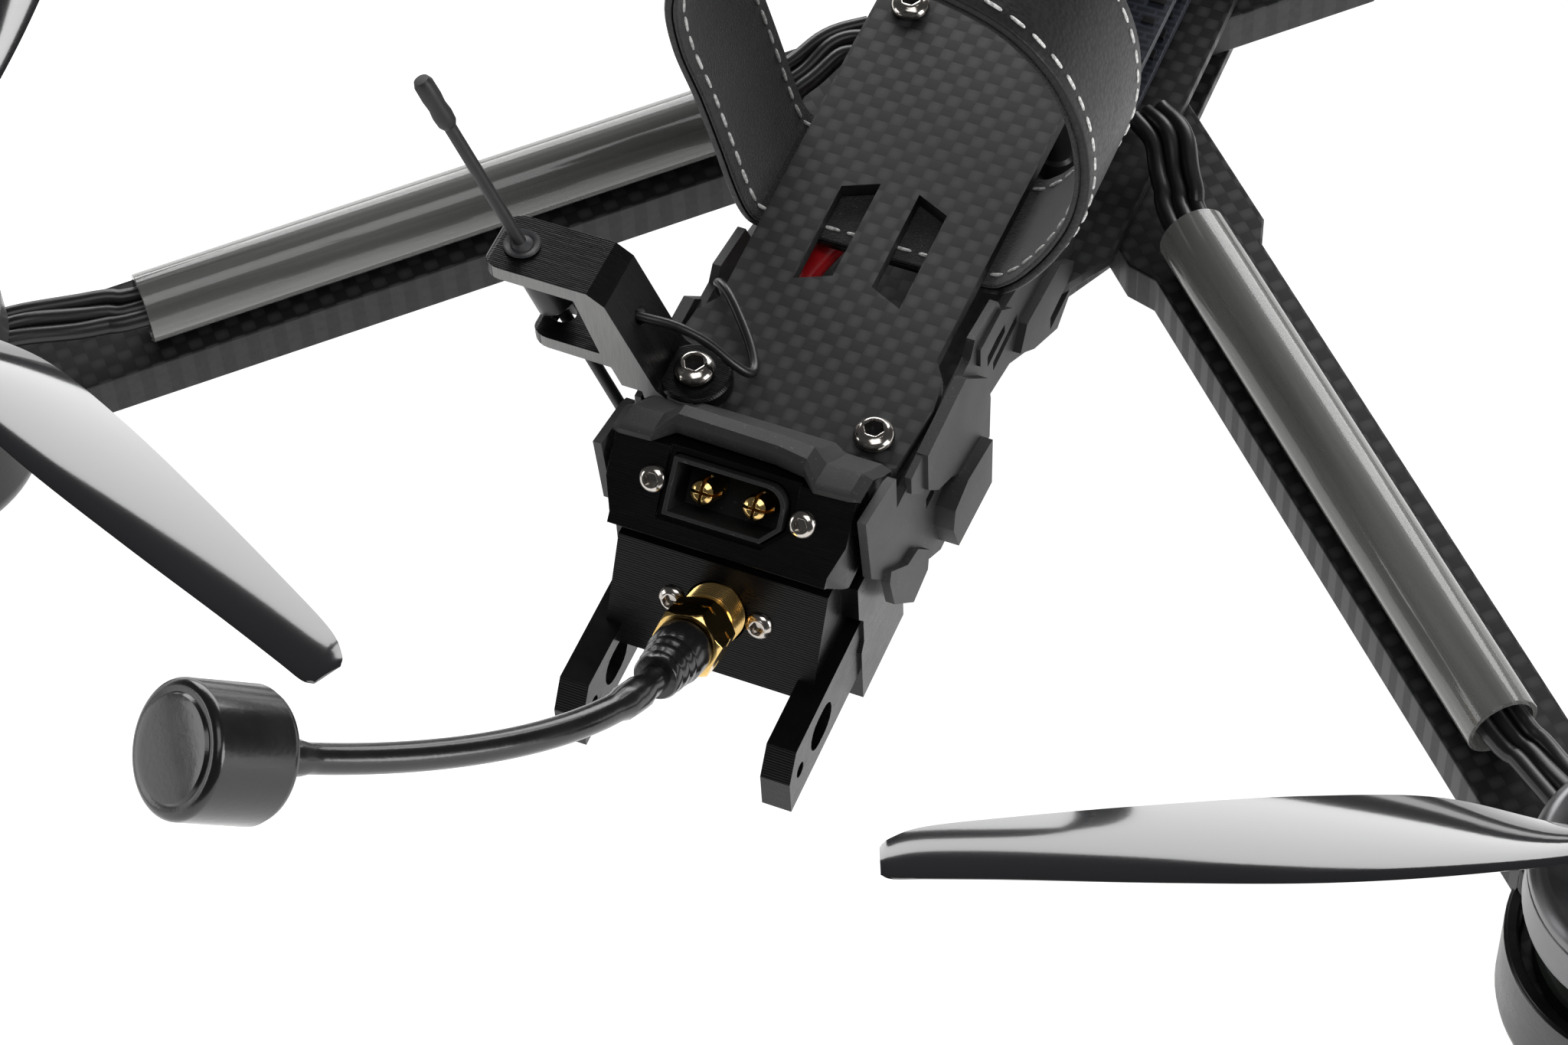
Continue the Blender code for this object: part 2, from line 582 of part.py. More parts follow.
def blade_solid(spin, matrix):
    """Loft six-sided wing sections from root to tip."""
    shape = bmesh.new()
    rings = []
    for share, chord, pitch, thickness, sweep in BLADE_STATIONS:
        section = ((0.5, 0.0), (0.25, 0.5), (-0.15, 0.5), (-0.5, 0.0), (-0.15, -0.35), (0.25, -0.35))
        ring = []
        for along, up in section:
            tilt = math.radians(pitch)
            across = (along * chord * math.cos(tilt) - up * thickness * math.sin(tilt) + sweep) * spin
            height = along * chord * math.sin(tilt) + up * thickness * math.cos(tilt)
            ring.append(shape.verts.new(matrix @ Vector((share * PROP_RADIUS, across, height))))
        rings.append(ring)
    for inner, outer in zip(rings, rings[1:]):
        for i in range(len(inner)):
            j = (i + 1) % len(inner)
            shape.faces.new((inner[i], inner[j], outer[j], outer[i]))
    shape.faces.new(rings[0])
    shape.faces.new(rings[-1])
    bmesh.ops.recalc_face_normals(shape, faces=shape.faces)
    return from_bmesh("blade", shape)


def make_feet():
    """A cup round each arm's end, with a slot where the arm comes in."""
    inner = ARM_PAD_RADIUS + 0.4 * MM
    outer = inner + FOOT_WALL
    for name, side, end in corners():
        centre = Vector((side * MOTOR_OFFSET, end * MOTOR_OFFSET, 0))
        cup = turned([(0, ARM_LOW - GAP), (inner, ARM_LOW - GAP), (inner, FOOT_RIM), (outer, FOOT_RIM),
                      (outer, 2 * MM), (outer - 2.2 * MM, -2 * MM), (outer - 7 * MM, FOOT_BOTTOM),
                      (0, FOOT_BOTTOM)], steps=24)
        cup.location = centre
        inward = math.atan2(-end, -side)
        half = ARM_HALF_WIDTH + 2.4 * MM
        mouth = box((0, -half, ARM_LOW - GAP), (outer + MM, half, FOOT_RIM + MM))
        mouth.matrix_world = Matrix.Translation(centre) @ Matrix.Rotation(inward, 4, "Z")
        finish(carve(cup, cut=[mouth]), f"motor_foot_{name}", "rubber")


def make_sleeves_and_wires():
    base_z = ARM_TOP + GAP + SLEEVE_RADIUS
    for name, side, end in corners():
        out = Vector((side, end, 0)).normalized()
        across = Vector((-side, end, 0)).normalized() * SLEEVE_OFFSET
        start = out * SLEEVE_START + across + Vector((0, 0, base_z))
        finish_end = out * SLEEVE_END + across + Vector((0, 0, base_z))
        sleeve = cylinder(start, finish_end, SLEEVE_RADIUS, sides=16)
        reach = out * MM
        hollow = cylinder(start - reach, finish_end + reach, SLEEVE_RADIUS - SLEEVE_WALL, sides=16)
        finish(carve(sleeve, cut=[hollow]), f"wire_sleeve_{name}", "clear_sleeve")

        exit_x, exit_y, exit_z = WIRE_EXIT
        motor = Vector((side * MOTOR_OFFSET, end * MOTOR_OFFSET, 0))
        bundle = [Vector((side * exit_x, end * exit_y, exit_z)),
                  Vector((side * (exit_x + 4.5 * MM), end * (exit_y + 3.4 * MM), exit_z)),
                  out * (SLEEVE_START - 8 * MM) + across * 0.6 + Vector((0, 0, base_z + 1.2 * MM)),
                  out * (SLEEVE_START + 6 * MM) + across + Vector((0, 0, base_z)),
                  out * (SLEEVE_END - 8 * MM) + across + Vector((0, 0, base_z)),
                  out * (SLEEVE_END + 6 * MM) + across * 0.8 + Vector((0, 0, base_z + 0.4 * MM)),
                  motor - out * (STATOR_RADIUS + 4 * MM) + Vector((0, 0, base_z + 2.6 * MM)),
                  motor - out * (MOTOR_NECK_RADIUS + 0.6 * MM) + Vector((0, 0, base_z + 2.6 * MM))]
        route = smooth_route(bundle, 3)
        level = Vector((0, 0, 1))
        strands = []
        for shift in (-1, 0, 1):
            strand = []
            for i, point in enumerate(route):
                ahead = route[min(i + 1, len(route) - 1)] - route[max(i - 1, 0)]
                strand.append(point + ahead.cross(level).normalized() * shift * WIRE_SPACING)
            strands.append(tube(strand, WIRE_RADIUS, 1))
        finish(carve(strands[1], join=[strands[0], strands[2]]), f"motor_wires_{name}", "wire_black")


def make_posts():
    """Standoffs between mid and top plate, each with the screw that comes down into it."""
    foot_low = DECK_TOP + GAP
    for name, (x, y), seat in (("rear_right", REAR_POST, 0), ("mid_right", MID_POST, 0),
                               ("rear_left", REAR_POST, MOUNT_FOOT + GAP), ("mid_left", MID_POST, 0)):
        x = -x if name.endswith("left") else x
        head_z = ROOF_TOP + GAP + seat
        post = cylinder((x, y, foot_low), (x, y, ROOF_LOW - GAP), POST_RADIUS, sides=12)
        shank = cylinder((x, y, ROOF_LOW - MM), (x, y, head_z + 0.4 * MM), SCREW_RADIUS, sides=12)
        head = screw_head((x, y, head_z), (0, 0, 1), SCREW_HEAD_RADIUS, SCREW_HEAD_HEIGHT)
        finish(carve(post, join=[shank, head]), f"standoff_{name}", "steel")


def plug_outline(half_width, half_height):
    """The plug's housing: square on the left, both right corners cut off."""
    cut = half_height * 0.62
    return [(-half_width, -half_height), (half_width - cut, -half_height), (half_width, -half_height + cut),
            (half_width, half_height - cut), (half_width - cut, half_height), (-half_width, half_height)]


def side_view(outline, half_width):
    """A solid with an outline in (y, z), across from -half_width to half_width."""
    matrix = Matrix(((0, 0, 1, 0), (1, 0, 0, 0), (0, 1, 0, 0), (0, 0, 0, 1)))
    return prism(outline, -half_width, half_width, matrix)


def on_face(centre, tilt, down):
    """(y, z) of the point that lies down along a tilted tail face from its centre."""
    return centre.y - math.sin(tilt) * down, centre.z - math.cos(tilt) * down


def make_tail():
    face = tilted_frame(PLUG_CENTRE, PLUG_TILT)
    top_down = (PLUG_CENTRE.z - PLUG_BLOCK_TOP) / math.cos(PLUG_TILT)
    face_low = (PLUG_CENTRE.z - 34.4 * MM) / math.cos(PLUG_TILT)
    y_cap, _ = on_face(PLUG_CENTRE, PLUG_TILT, top_down)
    y_low, z_low = on_face(PLUG_CENTRE, PLUG_TILT, face_low)
    behind_roof = ROOF_TAIL_Y - GAP
    under_roof = ROOF_LOW - GAP
    front_y = REAR_POST[1] - POST_RADIUS - 2 * GAP
    outline = [(y_cap, PLUG_BLOCK_TOP), (y_low, z_low), (y_low + 3.1 * MM, PLUG_BLOCK_LOW + MM),
               (y_low + 4.4 * MM, PLUG_BLOCK_LOW), (front_y, PLUG_BLOCK_LOW), (front_y, under_roof),
               (behind_roof, under_roof), (behind_roof, ROOF_TOP + MM), (y_cap + 4 * MM, PLUG_BLOCK_TOP - MM)]
    block = side_view(outline, PLUG_BLOCK_HALF_WIDTH)
    window = prism(plug_outline(PLUG_HALF_WIDTH + GAP, PLUG_HALF_HEIGHT + GAP), -PLUG_DEPTH - GAP,
                   4 * MM, face)
    lead_way = box((-LEAD_X - 2.8 * MM, -115.5 * MM, PLUG_BLOCK_LOW - MM),
                   (LEAD_X + 2.8 * MM, front_y + MM, under_roof + 0.7 * MM))
    heads = []
    for side in (-1, 1):
        seat = face @ Vector((side * PLUG_SCREW_SPACING / 2, 0, -0.2 * MM))
        heads.append(screw_head(seat, face.col[2].to_3d(), SMALL_HEAD_RADIUS, SMALL_HEAD_HEIGHT))
    finish(carve(block, join=heads, cut=[window, lead_way]), "plug_housing", "printed_plastic")

    shell = prism(plug_outline(PLUG_HALF_WIDTH, PLUG_HALF_HEIGHT), -PLUG_DEPTH, PLUG_RIM, face)
    hollow = prism(plug_outline(PLUG_HALF_WIDTH - PLUG_WALL, PLUG_HALF_HEIGHT - PLUG_WALL),
                   -PLUG_DEPTH + PLUG_FLOOR, PLUG_RIM + MM, face)
    finish(carve(shell, cut=[hollow]), "power_plug_shell", "moulded_plastic")
    for side, name in ((-1, "left"), (1, "right")):
        root = Vector((side * PIN_SPACING / 2, 0, -PLUG_DEPTH + PLUG_FLOOR + GAP))
        tip = Vector((root.x, 0, 0.2 * MM))
        pin = cylinder(face @ root, face @ tip, PIN_RADIUS, PIN_RADIUS * 0.88, sides=16)
        cross = []
        for wide, tall in ((0.25 * MM, 2 * MM), (2 * MM, 0.25 * MM)):
            slit = box((root.x - wide, -tall, tip.z - 3 * MM), (root.x + wide, tall, tip.z + MM))
            slit.matrix_world = face
            cross.append(slit)
        finish(carve(pin, cut=cross), f"power_pin_{name}", "gold")

    make_antenna_bracket()
    make_cap(y_cap)


def make_antenna_bracket():
    face = tilted_frame(JACK_CENTRE, JACK_TILT)
    front_y = REAR_POST[1] - POST_RADIUS - 2 * GAP
    y_top, _ = on_face(JACK_CENTRE, JACK_TILT, (JACK_CENTRE.z - BLOCK_TOP) / math.cos(JACK_TILT))
    y_low, z_low = on_face(JACK_CENTRE, JACK_TILT, 8.6 * MM)
    floor = DECK_TOP + GAP
    outline = [(y_top, BLOCK_TOP), (y_low, z_low), (y_low + 2 * MM, z_low - 2.2 * MM),
               (DECK_TAIL_Y - 2 * MM, floor), (front_y, floor), (front_y, BLOCK_TOP)]
    block = side_view(outline, BLOCK_HALF_WIDTH)
    joined, cuts = [], []
    for side in (-1, 1):
        x = (side * STRUT_INNER_X, side * STRUT_OUTER_X)
        rail = [(STRUT_END_Y, STRUT_LOW), (DECK_TAIL_Y - GAP, STRUT_LOW), (DECK_TAIL_Y - GAP, STRUT_HIGH),
                (STRUT_END_Y + 2.6 * MM, STRUT_HIGH), (STRUT_END_Y, STRUT_HIGH - 4 * MM)]
        middle = Matrix.Translation((sum(x) / 2, 0, 0))
        strut = side_view(rail, (STRUT_OUTER_X - STRUT_INNER_X) / 2)
        strut.matrix_world = middle
        joined.append(strut)
        wave = [(FIN_REAR_Y, FIN_LOW), (FIN_REAR_Y, 13 * MM), (FIN_REAR_Y + MM, 14.5 * MM),
                (FIN_REAR_Y + MM, 19 * MM), (FIN_REAR_Y - 0.4 * MM, 21 * MM), (FIN_REAR_Y - 0.4 * MM, FIN_HIGH),
                (FIN_FRONT_Y, FIN_HIGH), (FIN_FRONT_Y, FIN_LOW)]
        fin = side_view(wave, (FIN_OUTER_X - FIN_INNER_X) / 2)
        fin.matrix_world = Matrix.Translation((side * (FIN_OUTER_X + FIN_INNER_X) / 2, 0, 0))
        joined.append(fin)
        far = side * (STRUT_OUTER_X + MM)
        near = side * (STRUT_INNER_X - MM)
        mid_z = (STRUT_LOW + STRUT_HIGH) / 2
        cuts.append(cylinder((near, STRUT_HOLE_Y, mid_z), (far, STRUT_HOLE_Y, mid_z), 2.6 * MM, sides=14))
        cuts.append(cylinder((near, STRUT_END_Y + 3.4 * MM, mid_z), (far, STRUT_END_Y + 3.4 * MM, mid_z),
                             1.1 * MM, sides=10))
        seat = face @ Vector((side * JACK_SCREW_SPACING / 2, 0, -0.2 * MM))
        joined.append(screw_head(seat, face.col[2].to_3d(), SMALL_HEAD_RADIUS, SMALL_HEAD_HEIGHT))
    socket = cylinder(face @ Vector((0, 0, -JACK_DEPTH)), face @ Vector((0, 0, 2 * MM)), JACK_RADIUS + GAP)
    cuts.append(socket)
    finish(carve(block, join=joined, cut=cuts), "antenna_bracket", "printed_plastic")

    jack = cylinder(face @ Vector((0, 0, -JACK_DEPTH + GAP)), face @ Vector((0, 0, JACK_LENGTH)), JACK_RADIUS)
    finish(jack, "antenna_jack", "gold")
    nut_low = JACK_LENGTH + GAP
    nut_high = nut_low + JACK_NUT_HEIGHT
    nut = cylinder(face @ Vector((0, 0, nut_low)), face @ Vector((0, 0, nut_high)),
                   JACK_NUT_FLATS / math.sqrt(3), sides=6)
    finish(nut, "antenna_nut", "gold")
    make_video_antenna(face, nut_high + GAP)


def make_video_antenna(face, start):
    out = face.col[2].to_3d().normalized()
    boot_end = face @ Vector((0, 0, start + BOOT_LENGTH))
    neck = ANTENNA_HEAD_CENTRE - ANTENNA_HEAD_AXIS * (ANTENNA_HEAD_LENGTH / 2 + GAP)
    reach = (neck - boot_end).length / 3
    a, b, c, d = boot_end - out * MM, boot_end + out * reach, neck - ANTENNA_HEAD_AXIS * reach, neck
    steps = 16
    route = []
    for i in range(steps + 1):
        t = i / steps
        route.append(a * (1 - t) ** 3 + b * 3 * t * (1 - t) ** 2 + c * 3 * t ** 2 * (1 - t) + d * t ** 3)
    stalk = tube(route, STALK_RADIUS, 3)
    boot = cylinder(face @ Vector((0, 0, start)), boot_end, BOOT_RADIUS, STALK_RADIUS + 0.6 * MM)
    finish(carve(boot, join=[stalk]), "antenna_stalk", "rubber")
    half = ANTENNA_HEAD_AXIS * (ANTENNA_HEAD_LENGTH / 2)
    rim = ANTENNA_HEAD_AXIS * 1.2 * MM
    drum = cylinder(ANTENNA_HEAD_CENTRE - half, ANTENNA_HEAD_CENTRE + half - rim, ANTENNA_HEAD_RADIUS, sides=28)
    lid = cylinder(ANTENNA_HEAD_CENTRE + half - rim * 2, ANTENNA_HEAD_CENTRE + half,
                   ANTENNA_HEAD_RADIUS - 0.8 * MM, sides=28)
    finish(carve(drum, join=[lid]), "antenna_head", "printed_plastic")


def make_cap(block_y):
    """A thin faceted cover that runs from the roof plate up over the plug block."""
    low = ROOF_TOP + GAP
    ridge = PLUG_BLOCK_TOP + GAP
    front = REAR_POST[1] - 3.4 * MM
    rear = block_y - 0.5 * MM
    outline = [(front, low + 0.5 * MM), (front - 1.4 * MM, low + CAP_THICKNESS),
               (block_y + 4 * MM, ridge + CAP_THICKNESS - 1.3 * MM), (rear, ridge + CAP_THICKNESS - 0.7 * MM),
               (rear, ridge), (block_y, ridge), (block_y + 4 * MM, ridge - 0.7 * MM),
               (ROOF_TAIL_Y, low + MM), (ROOF_TAIL_Y, low), (front, low)]
    cover = side_view(outline, CAP_HALF_WIDTH)
    cuts = [box((-CAP_HALF_WIDTH - MM, REAR_POST[1] - MOUNT_DEPTH / 2 - GAP, low - MM),
                (-REAR_POST[0], front + MM, low + 6 * MM))]
    for x, radius in ((-REAR_POST[0], MOUNT_FOOT_RADIUS + GAP), (REAR_POST[0], SCREW_HEAD_RADIUS + MM)):
        cuts.append(cylinder((x, REAR_POST[1], low - MM), (x, REAR_POST[1], low + 6 * MM), radius, sides=20))
    finish(carve(cover, cut=cuts), "tail_cap", "moulded_plastic")


def make_receiver_antenna():
    foot_low = ROOF_TOP + GAP
    x, y = -REAR_POST[0], REAR_POST[1]
    rear, front = y - MOUNT_DEPTH / 2, y + MOUNT_DEPTH / 2
    foot = cylinder((x, y, foot_low), (x, y, foot_low + MOUNT_FOOT), MOUNT_FOOT_RADIUS, sides=20)
    upper_low, lower_low = UPPER_PRONG_TOP - MOUNT_PRONG, LOWER_PRONG_TOP - MOUNT_PRONG
    fork = [(-13.0 * MM, foot_low), (-16.0 * MM, foot_low + MOUNT_FOOT), (-22.2 * MM, UPPER_PRONG_TOP - 1.6 * MM),
            (-24.6 * MM, UPPER_PRONG_TOP), (-39.0 * MM, UPPER_PRONG_TOP), (-40.2 * MM, UPPER_PRONG_TOP - MM),
            (-39.4 * MM, upper_low), (-26.6 * MM, upper_low), (-23.6 * MM, LOWER_PRONG_TOP),
            (-33.8 * MM, LOWER_PRONG_TOP), (-33.2 * MM, lower_low), (-22.2 * MM, lower_low),
            (-20.9 * MM, foot_low + 1.2 * MM), (-18.0 * MM, foot_low + 1.2 * MM), (-17.8 * MM, foot_low)]
    matrix = Matrix(((1, 0, 0, 0), (0, 0, -1, 0), (0, 1, 0, 0), (0, 0, 0, 1)))
    arch = prism(fork, -front, -rear, matrix)
    reach = DIPOLE_AXIS * 60 * MM
    bores = [cylinder(DIPOLE_CENTRE - reach, DIPOLE_CENTRE + reach, DIPOLE_SLEEVE_RADIUS + GAP, sides=12),
             cylinder((x, y, foot_low - MM), (x, y, foot_low + 2 * MOUNT_FOOT), SCREW_RADIUS + GAP, sides=12),
             cylinder((-28.0 * MM, -102.0 * MM, 46.7 * MM), (-17.0 * MM, -102.0 * MM, 47.3 * MM),
                      COAX_RADIUS + GAP * 2, sides=10)]
    finish(carve(arch, join=[foot], cut=bores), "receiver_antenna_mount", "printed_plastic")

    tip = DIPOLE_CENTRE + DIPOLE_AXIS * DIPOLE_UP
    rod = cylinder(DIPOLE_CENTRE - DIPOLE_AXIS * DIPOLE_DOWN, tip - DIPOLE_AXIS * MM, DIPOLE_RADIUS, sides=10)
    sleeve = cylinder(tip - DIPOLE_AXIS * DIPOLE_SLEEVE, tip, DIPOLE_SLEEVE_RADIUS, DIPOLE_RADIUS, sides=12)
    centre = cylinder(DIPOLE_CENTRE - DIPOLE_AXIS * 1.8 * MM, DIPOLE_CENTRE + DIPOLE_AXIS * 4.6 * MM,
                      2.7 * MM, sides=14)
    coax = tube(smooth_route([Vector(point) * MM for point in COAX_ROUTE], 2), COAX_RADIUS, 1)
    arm = cylinder(DIPOLE_CENTRE, Vector(COAX_ROUTE[1]) * MM, 1.0 * MM, COAX_RADIUS, sides=10)
    finish(carve(centre, join=[rod, sleeve, arm, coax]), "receiver_antenna", "rubber")


def make_side_panels():
    for side, name in ((-1, "left"), (1, "right")):
        wall = side_view([(y * MM, z * MM) for y, z in PANEL_OUTLINE], PANEL_WALL / 2)
        wall.matrix_world = Matrix.Translation((side * (PANEL_INNER_X + PANEL_WALL / 2), 0, 0))
        reliefs = []
        for outer, outline in PANEL_RELIEFS:
            relief = side_view([(y * MM, z * MM) for y, z in outline], (outer - RELIEF_X) / 2)
            relief.matrix_world = Matrix.Translation((side * (outer + RELIEF_X) / 2, 0, 0))
            reliefs.append(relief)
        slits = []
        for rear, front, low, high in PANEL_SLITS:
            slits.append(box((side * PANEL_INNER_X - 4 * MM, rear * MM, low * MM),
                             (side * PANEL_INNER_X + 4 * MM, front * MM, high * MM)))
        finish(carve(wall, join=reliefs, cut=slits), f"side_panel_{name}", "moulded_plastic")


def make_strap():
    """One band of constant thickness swept round its loop."""
    centre_line = [Vector((x, 0, z)) * MM for x, z in STRAP_LOOP]
    count = len(centre_line)
    outer, inner = [], []
    for i, point in enumerate(centre_line):
        along = (centre_line[(i + 1) % count] - centre_line[i - 1]).normalized()
        side = Vector((0, 1, 0)).cross(along) * (STRAP_THICKNESS / 2)
        outer.append(((point + side).x, (point + side).z))
        inner.append(((point - side).x, (point - side).z))
    matrix = Matrix(((1, 0, 0, 0), (0, 0, -1, 0), (0, 1, 0, 0), (0, 0, 0, 1)))
    high = -STRAP_REAR_Y
    low = high - STRAP_WIDTH
    band = prism(outer, low, high, matrix)
    hole = prism(inner, low - MM, high + MM, matrix)
    finish(carve(band, cut=[hole]), "battery_strap", "leather")


def make_electronics():
    half = BOARD / 2
    esc_low = DECK_TOP + GAP + ESC_LEG
    fc_low = esc_low + BOARD_THICKNESS + GAP + FC_LEG
    chip = {"esc_board": (13 * MM, 2.4 * MM), "flight_controller": (7 * MM, 1.4 * MM)}
    for name, low, leg in (("esc_board", esc_low, ESC_LEG), ("flight_controller", fc_low, FC_LEG)):
        size, rise = chip[name]
        board = box((-half, -half, low), (half, half, low + BOARD_THICKNESS))
        pieces = [box((-size, -size, low + BOARD_THICKNESS / 2), (size, size, low + BOARD_THICKNESS + rise))]
        for sx in (-1, 1):
            for sy in (-1, 1):
                corner = Vector((sx * BOARD_HOLE, sy * BOARD_HOLE, 0))
                pieces.append(cylinder(corner + Vector((0, 0, low - leg)), corner + Vector((0, 0, low + MM)),
                                       BOARD_LEG_RADIUS, sides=10))
        finish(carve(board, join=pieces), name, "board")
    for side, name, colour in ((-1, "red", "wire_red"), (1, "black", "wire_black")):
        route = smooth_route([Vector((side * LEAD_X, y * MM, z * MM)) for y, z in LEAD_ROUTE], 2)
        finish(tube(route, LEAD_RADIUS, 2), f"power_lead_{name}", colour)


def make_camera():
    pivot = Vector((0, CAMERA_PIVOT_Y, CAMERA_PIVOT_Z))
    wall_low, wall_high = DECK_TOP + GAP, ROOF_LOW - GAP
    outer_x = CHEEK_INNER_X + CHEEK_WALL
    back = box((-outer_x, CRADLE_BACK_Y, wall_low), (outer_x, CRADLE_BACK_Y + CRADLE_WALL, wall_high))
    joined, cuts = [], []
    post_x, post_y = cradle_post()
    for side in (-1, 1):
        near, far = sorted((side * CHEEK_INNER_X, side * outer_x))
        joined.append(box((near, CRADLE_BACK_Y + MM, wall_low), (far, CHEEK_FRONT_Y, wall_high)))
        joined.append(cylinder((side * post_x, post_y, wall_high - MM),
                               (side * post_x, post_y, ROOF_TOP + 0.7 * MM), SCREW_RADIUS * 0.85, sides=12))
        joined.append(screw_head((side * post_x, post_y, ROOF_TOP + GAP), (0, 0, 1), SCREW_HEAD_RADIUS,
                                 SCREW_HEAD_HEIGHT))
        cuts.append(cylinder(pivot + Vector((side * (CHEEK_INNER_X - MM), 0, 0)),
                             pivot + Vector((side * (outer_x + MM), 0, 0)), TILT_PIN_RADIUS + RUNNING_GAP,
                             sides=14))
    finish(carve(back, join=joined, cut=cuts), "camera_cradle", "printed_plastic")

    empty = axis_empty("camera_axis", pivot)
    half, cut = CAMERA_SIZE / 2, CAMERA_CHAMFER
    section = [(-half, -half + cut), (-half + cut, -half), (half - cut, -half), (half, -half + cut),
               (half, half - cut), (half - cut, half), (-half + cut, half), (-half, half - cut)]
    body = side_view(section, CHEEK_INNER_X - GAP)
    lens = cylinder((0, half - MM, 0), (0, half + LENS_LENGTH, 0), LENS_RADIUS, LENS_RADIUS + MM, sides=20)
    glass = cylinder((0, half + LENS_LENGTH - 1.4 * MM, 0), (0, half + LENS_LENGTH + MM, 0),
                     LENS_RADIUS - 0.6 * MM, sides=20)
    reach = outer_x + GAP
    pin = cylinder((-reach - 0.6 * MM, 0, 0), (reach + 0.6 * MM, 0, 0), TILT_PIN_RADIUS, sides=12)
    heads = [cylinder((side * reach, 0, 0), (side * (reach + 1.2 * MM), 0, 0), TILT_HEAD_RADIUS, sides=12)
             for side in (-1, 1)]
    camera = carve(body, join=[lens, pin, *heads], cut=[glass])
    finish(camera, "camera_body", "black_alloy", empty)


make_plates()
make_arms()
make_motors()
make_feet()
make_sleeves_and_wires()
make_posts()
make_tail()
make_receiver_antenna()
make_side_panels()
make_strap()
make_electronics()
make_camera()
bpy.data.collections.remove(workshop)
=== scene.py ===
import json
import math

import bmesh
import bpy
import numpy as np
from mathutils import Matrix, Vector

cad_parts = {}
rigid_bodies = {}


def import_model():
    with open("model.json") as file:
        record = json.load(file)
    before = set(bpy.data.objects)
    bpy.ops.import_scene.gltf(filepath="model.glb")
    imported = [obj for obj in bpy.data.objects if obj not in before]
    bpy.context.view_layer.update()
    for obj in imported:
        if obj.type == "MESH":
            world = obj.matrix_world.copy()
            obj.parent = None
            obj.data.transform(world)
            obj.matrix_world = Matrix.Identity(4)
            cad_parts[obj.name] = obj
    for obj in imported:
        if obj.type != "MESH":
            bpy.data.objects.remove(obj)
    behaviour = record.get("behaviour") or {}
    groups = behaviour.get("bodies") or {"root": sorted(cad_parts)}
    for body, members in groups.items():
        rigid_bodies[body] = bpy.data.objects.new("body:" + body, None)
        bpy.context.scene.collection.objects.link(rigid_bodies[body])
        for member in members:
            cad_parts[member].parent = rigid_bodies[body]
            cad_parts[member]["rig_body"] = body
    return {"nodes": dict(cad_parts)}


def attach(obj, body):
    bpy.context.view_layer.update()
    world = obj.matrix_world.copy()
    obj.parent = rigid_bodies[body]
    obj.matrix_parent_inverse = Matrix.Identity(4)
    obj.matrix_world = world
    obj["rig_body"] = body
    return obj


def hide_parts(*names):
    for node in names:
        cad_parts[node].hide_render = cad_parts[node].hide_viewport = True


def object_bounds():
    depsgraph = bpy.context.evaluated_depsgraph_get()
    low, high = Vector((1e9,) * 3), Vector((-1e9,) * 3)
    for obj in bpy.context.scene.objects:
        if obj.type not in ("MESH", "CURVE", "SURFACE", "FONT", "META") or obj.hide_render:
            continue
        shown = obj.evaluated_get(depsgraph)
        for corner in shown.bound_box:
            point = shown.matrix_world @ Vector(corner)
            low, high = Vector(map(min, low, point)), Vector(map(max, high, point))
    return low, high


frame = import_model()
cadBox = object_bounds()
nodes = frame["nodes"]
mm = 0.001
corners = {"rear_right": (1, -1), "rear_left": (-1, -1), "front_right": (1, 1), "front_left": (-1, 1)}
print("frame loaded:", len(nodes), "nodes")

# ---- camera and light
shot = {"place": (147.1, -415.2, 470.1), "aim": (4.8, -114.4, 30.0), "roll": -3.54, "lens": 98.4}
studio = {"floorGap": 0.2, "floorSize": 6.0, "floorGlow": 1.0, "skyGlow": 0.07}
softboxes = {
    "overhead": {"place": (0.3, -0.5, 1.5), "aim": (0.0, -0.1, 0.0), "size": (1.0, 0.8), "watts": 6},
    "noseSide": {"place": (-0.5, 1.5, 0.72), "aim": (0.0, -0.1, 0.0), "size": (2.4, 1.0), "watts": 38},
    "rightSide": {"place": (1.5, -0.2, 0.55), "aim": (0.0, -0.1, 0.02), "size": (0.7, 0.9), "watts": 13},
    "tailLeft": {"place": (-1.4, -0.8, 0.4), "aim": (0.0, -0.12, 0.03), "size": (0.8, 0.5), "watts": 4},
}


def aimed(obj, place, aim, roll=0.0):
    obj.location = place
    turn = (Vector(aim) - Vector(place)).to_track_quat("-Z", "Y").to_matrix()
    obj.rotation_euler = (turn @ Matrix.Rotation(math.radians(roll), 3, "Z")).to_euler()
    bpy.context.scene.collection.objects.link(obj)
    return obj


lens = bpy.data.cameras.new("camera")
lens.lens = shot["lens"]
lens.clip_start = 0.02
bpy.context.scene.camera = aimed(bpy.data.objects.new("camera", lens), Vector(shot["place"]) * mm,
                                 Vector(shot["aim"]) * mm, shot["roll"])
for name, box in softboxes.items():
    lamp = bpy.data.lights.new(name, "AREA")
    lamp.shape = "RECTANGLE"
    lamp.size, lamp.size_y = box["size"]
    lamp.energy = box["watts"]
    aimed(bpy.data.objects.new(name, lamp), box["place"], box["aim"])
world = bpy.data.worlds.new("studio")
world.use_nodes = True
world.node_tree.nodes["Background"].inputs["Color"].default_value = (1.0, 0.995, 0.985, 1.0)
world.node_tree.nodes["Background"].inputs["Strength"].default_value = studio["skyGlow"]
bpy.context.scene.world = world
bpy.context.scene.view_settings.view_transform = "Standard"
print("camera and lights set")


